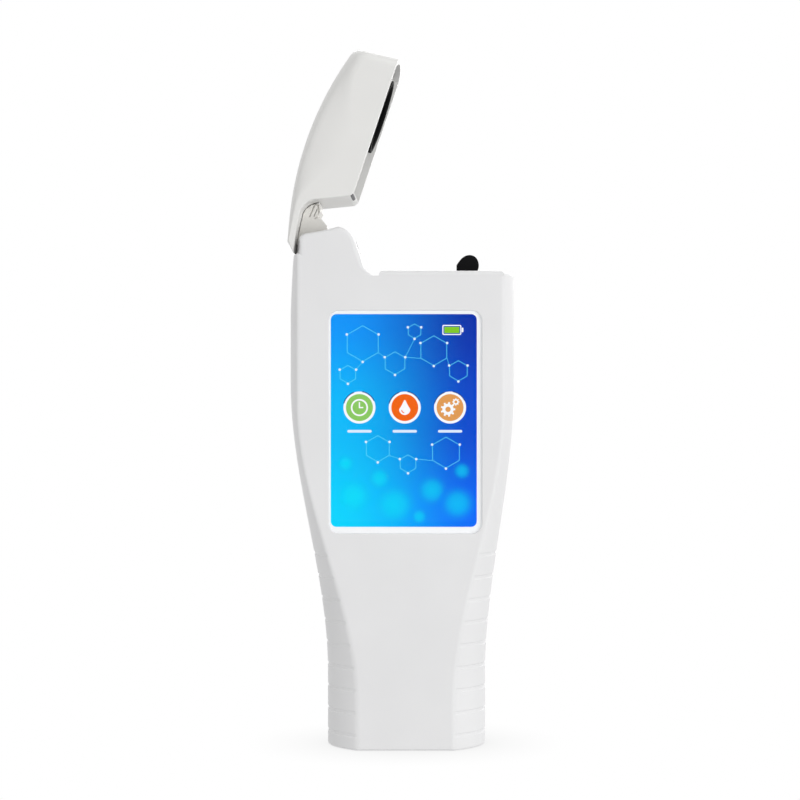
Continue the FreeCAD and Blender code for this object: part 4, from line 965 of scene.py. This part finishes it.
def displayPieces():
    form = displayForm
    half = form["panelHalf"]
    panel = (-half, half, form["panelLow"], form["panelHigh"])
    pane = slab("touchPanel", panel, 0.5, form["panelFront"], form["panelBack"])
    settle(pane, paneMaterial(), "housing", ["touch_panel"], crease=30)

    def window(gap, y1, y2):
        picture = (form["left"] - gap, form["right"] + gap, form["low"] - gap, form["high"] + gap)
        return slab("tool", picture, form["corner"], y1 - 1, y2 + 1)

    front, back = form["borderFront"], form["borderBack"]
    border = combine(slab("panelBorder", panel, 0.5, front, back, soft=0.03), [window(0, front, back)])
    settle(border, "border", "housing", crease=30)
    spots = frame["nodes"]["display_gasket"].bound_box
    low, high = ([pick(spot[axis] for spot in spots) / mm for axis in range(3)] for pick in (min, max))
    gasket = slab("displayGasket", (low[0], high[0], low[2], high[2]), 0.5, low[1], high[1], soft=0.05)
    combine(gasket, [window(form["gasketGap"], low[1], high[1])])
    settle(gasket, "foam", "housing", ["display_gasket"], crease=30)
    half = form["moduleHalf"]
    module = slab("litModule", (-half, half, form["moduleLow"], form["moduleHigh"]), 0.8, form["moduleFront"],
                  form["moduleBack"])
    settle(module, pictureMaterial(), "housing", ["lcd_module"], crease=30)


displayPieces()

inkFront = displayForm["moduleFront"]
inks = {}


def addSlab(ink, outer, level, holes=None):
    # a thin raised shape on the picture; holes is an inner outline of equally many points
    verts, faces = inks.setdefault(ink, ([], []))
    front, back = inkFront - 0.02 * level, inkFront - 0.02 * level + 0.015
    first, count = len(verts), len(outer)
    if holes:
        for y in (front, back):
            for ring in (outer, holes):
                verts.extend((x, y, z) for x, z in ring)
        for step in range(count):
            follow = (step + 1) % count
            a, b, c, d = (first + k * count for k in range(4))
            faces.extend([(a + step, a + follow, b + follow, b + step), (c + step, d + step, d + follow, c + follow),
                          (a + step, c + step, c + follow, a + follow), (b + step, b + follow, d + follow, d + step)])
        return
    for y in (front, back):
        verts.extend((x, y, z) for x, z in outer)
    faces.append(tuple(range(first, first + count)))
    faces.append(tuple(range(first + count, first + 2 * count)))
    for step in range(count):
        follow = (step + 1) % count
        faces.append((first + step, first + follow, first + count + follow, first + count + step))


def gear(x, z, radius, teeth):
    points = []
    for tooth in range(teeth):
        base = 2 * math.pi * tooth / teeth
        for share, r in ((-0.26, radius * 0.76), (-0.17, radius), (0.17, radius), (0.26, radius * 0.76)):
            angle = base + 2 * math.pi * share / teeth
            points.append((x + r * math.cos(angle), z + r * math.sin(angle)))
    return points


screenForm = {
    "icons": (("green", "clock", -15.6, 115.4), ("orange", "drop", -0.3, 115.4), ("tan", "gears", 15.0, 115.4)),
    "outer": 5.4, "disc": 4.55,
    "battery": (15.6, 141.6, 6.4, 3.4),
    "hexagons": ((-14.5, 137.0, 6.2), (-3.6, 130.4, 4.0), (9.5, 134.6, 5.2), (-19.5, 126.6, 3.2), (3.0, 141.2, 2.6),
                 (17.8, 127.8, 3.6), (-9.4, 101.5, 4.6), (13.6, 100.2, 5.4), (0.8, 96.4, 3.2)),
    "discs": ((-17.5, 85.5, 4.6), (-8.8, 91.5, 3.0), (-3.5, 82.6, 5.6), (9.0, 87.5, 4.2), (17.6, 83.0, 5.0),
              (19.0, 94.0, 2.6), (-20.3, 96.5, 2.4), (4.6, 78.6, 2.2)),
    "bars": (8.2, 0.9, 107.4),
    "glowColour": (10, 236, 255), "glowCover": 0.5,
}


def drawScreen():
    form = screenForm
    for x, z, radius in form["hexagons"]:
        outer = circle(x, z, radius, 6, 1 / 12)
        addSlab("mist", outer, 1, circle(x, z, radius - 0.32, 6, 1 / 12))
        for cx, cz in outer[::2]:
            addSlab("spark", circle(cx, cz, 0.42, 16), 3)
    corners = [circle(x, z, radius, 6, 1 / 12) for x, z, radius in form["hexagons"]]
    for a, b in ((0, 1), (1, 2), (0, 3), (2, 5), (1, 4), (6, 8), (8, 7)):
        near = min(((p, q) for p in corners[a] for q in corners[b]), key=lambda pair: math.dist(*pair))
        if math.dist(*near) > 0.3:
            addSlab("mist", bandLine(*near, 0.22), 2)
    for ink, symbol, x, z in form["icons"]:
        addSlab("white", circle(x, z, form["outer"], 56), 5)
        addSlab(ink, circle(x, z, form["disc"], 56), 7)
        addSlab("shade", arcBand(x, z, form["outer"] - 0.15, form["outer"] + 0.25, 25, 80), 8)
        addSlab("shade", arcBand(x, z, form["outer"] - 0.15, form["outer"] + 0.25, 110, 165), 8)
        drawSymbol(symbol, x, z)
        wide, high, level = form["bars"]
        points = roundedOutline(wide, high, high * 0.49, 5)
        addSlab("label", [(x + px, level + pz) for px, pz in points], 4)
    x, z, wide, high = form["battery"]
    points = roundedOutline(wide, high, 0.5, 4)
    inner = roundedOutline(wide - 0.7, high - 0.7, 0.3, 4)
    addSlab("white", [(x + px, z + pz) for px, pz in points], 3, [(x + px, z + pz) for px, pz in inner])
    inner = roundedOutline(wide - 1.3, high - 1.3, 0.2, 4)
    addSlab("charge", [(x + px, z + pz) for px, pz in inner], 3)
    nub = roundedOutline(0.6, high * 0.45, 0.2, 3)
    addSlab("white", [(x + wide / 2 + 0.4 + px, z + pz) for px, pz in nub], 3)


def glowDiscs():
    # soft round glows: full in the middle, gone at the rim
    verts, faces, glow = [], [], []
    steps = 40
    for x, z, radius in screenForm["discs"]:
        first = len(verts)
        verts.append((x, inkFront - 0.03, z))
        glow.append(1.0)
        for share, value in ((0.55, 0.75), (0.8, 0.42), (1.0, 0.16), (1.3, 0.0)):
            verts += [(px, inkFront - 0.03, pz) for px, pz in circle(x, z, radius * share, steps)]
            glow += [value] * steps
        for s in range(steps):
            faces.append((first, first + 1 + s, first + 1 + (s + 1) % steps))
            for ring in range(3):
                a, b = first + 1 + ring * steps + s, first + 1 + ring * steps + (s + 1) % steps
                faces.append((a, b, b + steps, a + steps))
    discs = addPiece("drawnGlows", verts, faces)
    field = discs.data.attributes.new("glow", "FLOAT", "POINT")
    for index, value in enumerate(glow):
        field.data[index].value = value
    material = glowing("ink_glow", linear(*screenForm["glowColour"]), 0.5)
    nodes, links = material.node_tree.nodes, material.node_tree.links
    blend = [node for node in nodes if node.type == "MIX_SHADER"][0]
    reader = nodes.new("ShaderNodeAttribute")
    reader.attribute_name = "glow"
    links.new(addRange(nodes, links, reader.outputs["Fac"], 0.0, screenForm["glowCover"]), blend.inputs["Fac"])
    settle(discs, material, "housing", crease=30)


def drawSymbol(symbol, x, z):
    if symbol == "clock":
        addSlab("white", circle(x, z, 2.9, 48), 9, circle(x, z, 2.35, 48))
        addSlab("white", bandLine((x, z - 0.2), (x, z + 1.8), 0.45), 10)
        addSlab("white", bandLine((x - 0.2, z), (x + 1.3, z), 0.45), 10)
    elif symbol == "drop":
        points = []
        for step in range(40):
            angle = 2 * math.pi * step / 40
            across, up = 1.9 * math.cos(angle), math.sin(angle)
            points.append((x + across * (1 - 0.55 * max(0, up)), z - 0.6 + 1.9 * up + 1.3 * max(0, up) ** 3))
        addSlab("white", points, 9)
        addSlab("orange", arcBand(x, z - 0.7, 0.9, 1.25, 190, 260, 10), 10)
    else:
        addSlab("white", gear(x - 0.7, z - 0.6, 2.5, 9), 9)
        addSlab("tan", circle(x - 0.7, z - 0.6, 0.9, 24), 10)
        addSlab("white", gear(x + 1.95, z + 1.9, 1.25, 8), 9)
        addSlab("tan", circle(x + 1.95, z + 1.9, 0.5, 20), 10)


# colour and cover of each ink
inkColours = {
    "white": (250, 252, 255, 1.0), "orange": (243, 102, 22, 1.0), "green": (140, 202, 100, 1.0),
    "tan": (226, 157, 88, 1.0), "charge": (130, 202, 42, 1.0), "mist": (90, 220, 255, 0.42),
    "spark": (225, 245, 255, 0.75), "shade": (10, 60, 140, 0.55), "label": (225, 240, 255, 0.85),
}
drawScreen()
glowDiscs()
for ink, (verts, faces) in inks.items():
    *colour, cover = inkColours[ink]
    drawing = addPiece("drawn_" + ink, verts, faces)
    settle(drawing, glowing("ink_" + ink, linear(*colour), cover), "housing", crease=30)
print("display ready")


# small fittings on the hidden sides
def screwPiece():
    form, heads = screwForm, None
    reach, thin = form["cross"]
    for x, z in form["spots"]:
        head = prism("caseScrews", [(y, circle(x, z, radius, 28)) for y, radius in form["head"]])
        combine(head, [boxTool(x - wide, x + wide, form["crossLow"], 16.5, z - high, z + high)
                       for wide, high in ((reach, thin), (thin, reach))])
        heads = combine(heads, [head], "UNION") if heads else head
    settle(heads, "steel", "housing", ["case_screws"], crease=35)


def keyPiece():
    form = keyForm
    y, z, face = form["y"], form["z"], form["face"]
    rings = []
    for x, shrink in ((face, 0.7), (face + 0.08, 0.35), (face + 0.3, 0.08), (face + 0.6, 0), (form["back"], 0)):
        points = roundedOutline(form["width"] - 2 * shrink, form["length"] - 2 * shrink, 1.28 - 0.4 * shrink, 6)
        rings.append([(x, y + a, z + b) for a, b in points])
    key = addLoft("powerKey", rings)
    low, high = face - 1, face + 0.16
    bar = [(y - 0.17, z + 0.5), (y + 0.17, z + 0.5), (y + 0.17, z + 1.9), (y - 0.17, z + 1.9)]
    ring = addPiece("tool", *ringSolid(low, high, y, z, 1.45, 1.1, 40))
    combine(key, [ring, crosswise("tool", bar, (low, high))])
    settle(key, "key", "key", ["power_key"], crease=35)


def ringSolid(x1, x2, y, z, outer, inner, steps):
    # an open ring, with a gap at its top
    verts, faces = [], []
    angles = [math.radians(115 + 310 * s / steps) for s in range(steps + 1)]
    for x in (x1, x2):
        for radius in (outer, inner):
            verts.extend((x, y + radius * math.cos(a), z + radius * math.sin(a)) for a in angles)
    count = steps + 1
    for s in range(steps):
        a, b, c, d = (k * count + s for k in range(4))
        faces.extend([(a, a + 1, b + 1, b), (c, d, d + 1, c + 1), (a, c, c + 1, a + 1), (b, b + 1, d + 1, d)])
    last = steps
    faces.append((0, count, 3 * count, 2 * count))
    faces.append((last, 2 * count + last, 3 * count + last, count + last))
    return verts, faces


def portPiece():
    form = portForm
    wide, deep, low, high = form["width"], form["depth"], form["low"], form["high"]
    points = roundedOutline(wide, deep, deep * 0.49)
    levels = ((low, 0.985, 0.96), (low + 0.12, 1, 1), (high, 1, 1))
    shell = addLoft("chargingSocket", [[(x * a, form["y"] + y * b, z) for x, y in points] for z, a, b in levels])
    mouth = roundedOutline(wide - 0.7, deep - 0.7, (deep - 0.7) * 0.49)
    combine(shell, [standing("tool", mouth, (low - 1, high - 0.8), (0, form["y"]))])
    tongue = roundedOutline(6.4, 0.7, 0.2, 3)
    combine(shell, [standing("tool", tongue, (low + 0.8, high - 0.7), (0, form["y"]))], "UNION")
    settle(shell, "steel", "housing", ["charging_socket"], crease=35)


screwPiece()
keyPiece()
portPiece()
print("fittings ready")

# the CAD nodes that stay in view or inside get finishes from the same set
slotFinishes = {
    "shell_plastic": "shell", "lid_plastic": "lid", "black_plastic": "black", "foam": "foam", "panel_glass": "pane",
    "display": "dark", "steel": "steel", "board": "board", "small_plastic": "dark", "key_plastic": "key",
    "seal_rubber": "seal", "clear_window": "pane", "battery_film": "battery",
}
nodeSlots = {part["node"]: part["material_slot"] for part in frame["record"]["subparts"]}
for name, node in frame["nodes"].items():
    node.data.materials.clear()
    node.data.materials.append(finishes[slotFinishes[nodeSlots[name]]])
print("carried-over nodes ready")

# light: an even white surround, a broad soft light from the right and a weaker one from the left
lightForm = {
    "surround": 0.47,
    "lights": (
        ("keyLight", (0.45, -0.62, 0.08), (0.5, 0.7), 2.75), ("fillLight", (-0.7, -0.8, 0.15), (0.6, 0.8), 0.5),
        ("sideLight", (0.9, -0.05, 0.1), (0.5, 0.8), 1.55), ("lowLight", (-0.45, -0.26, -0.04), (0.3, 0.3), 0.43),
        ("topLight", (0.05, -0.2, 0.95), (0.6, 0.6), 1.9), ("backLight", (0.2, 0.9, 0.6), (0.8, 0.8), 6.0)),
}


def addLights():
    target = Vector((0, 0, 0.12))
    for name, place, extent, power in lightForm["lights"]:
        data = bpy.data.lights.new(name, "AREA")
        data.shape = "RECTANGLE"
        data.size, data.size_y = extent
        data.energy = power
        lamp = bpy.data.objects.new(name, data)
        lamp.location = place
        lamp.rotation_euler = (target - Vector(place)).to_track_quat("-Z", "Y").to_euler()
        bpy.context.scene.collection.objects.link(lamp)
    world = bpy.data.worlds.new("surround")
    world.use_nodes = True
    bpy.context.scene.world = world
    nodes, links = world.node_tree.nodes, world.node_tree.links
    plain, seen = nodes["Background"], nodes.new("ShaderNodeBackground")
    for shade, strength in ((plain, lightForm["surround"]), (seen, 1)):
        shade.inputs["Color"].default_value = (1, 1, 1, 1)
        shade.inputs["Strength"].default_value = strength
    path = nodes.new("ShaderNodeLightPath")
    share = path.outputs["Is Camera Ray"]       # mirrors and glass show the same white as the camera sees
    for ray in ("Is Glossy Ray", "Is Transmission Ray"):
        either = nodes.new("ShaderNodeMath")
        either.operation = "MAXIMUM"
        links.new(share, either.inputs[0])
        links.new(path.outputs[ray], either.inputs[1])
        share = either.outputs[0]
    blend = addBlend(nodes, links, share, plain, seen)
    links.new(blend.outputs[0], nodes["World Output"].inputs["Surface"])


floorForm = {"half": 3000.0, "level": -0.2, "reach": 30.0, "shadow": 0.8}


def addFloor():
    # white floor with a soft contact shadow; it takes no light away from the object
    form = floorForm
    half, level = form["half"], form["level"]
    corners = ((-half, -half), (half, -half), (half, half), (-half, half))
    floor = addPiece("floor", [(x, y, level) for x, y in corners], [(0, 1, 2, 3)])
    material, nodes, links, surface = bareMaterial("paleFloor")
    near = nodes.new("ShaderNodeAmbientOcclusion")
    near.inputs["Distance"].default_value = form["reach"] * mm
    glow = nodes.new("ShaderNodeEmission")
    links.new(addRange(nodes, links, near.outputs["AO"], form["shadow"], 1.0), glow.inputs["Color"])
    links.new(glow.outputs[0], surface)
    floor.data.materials.append(material)
    floor.visible_diffuse = floor.visible_glossy = floor.visible_transmission = floor.visible_shadow = False


addLights()
addFloor()
print("floor and lights ready")
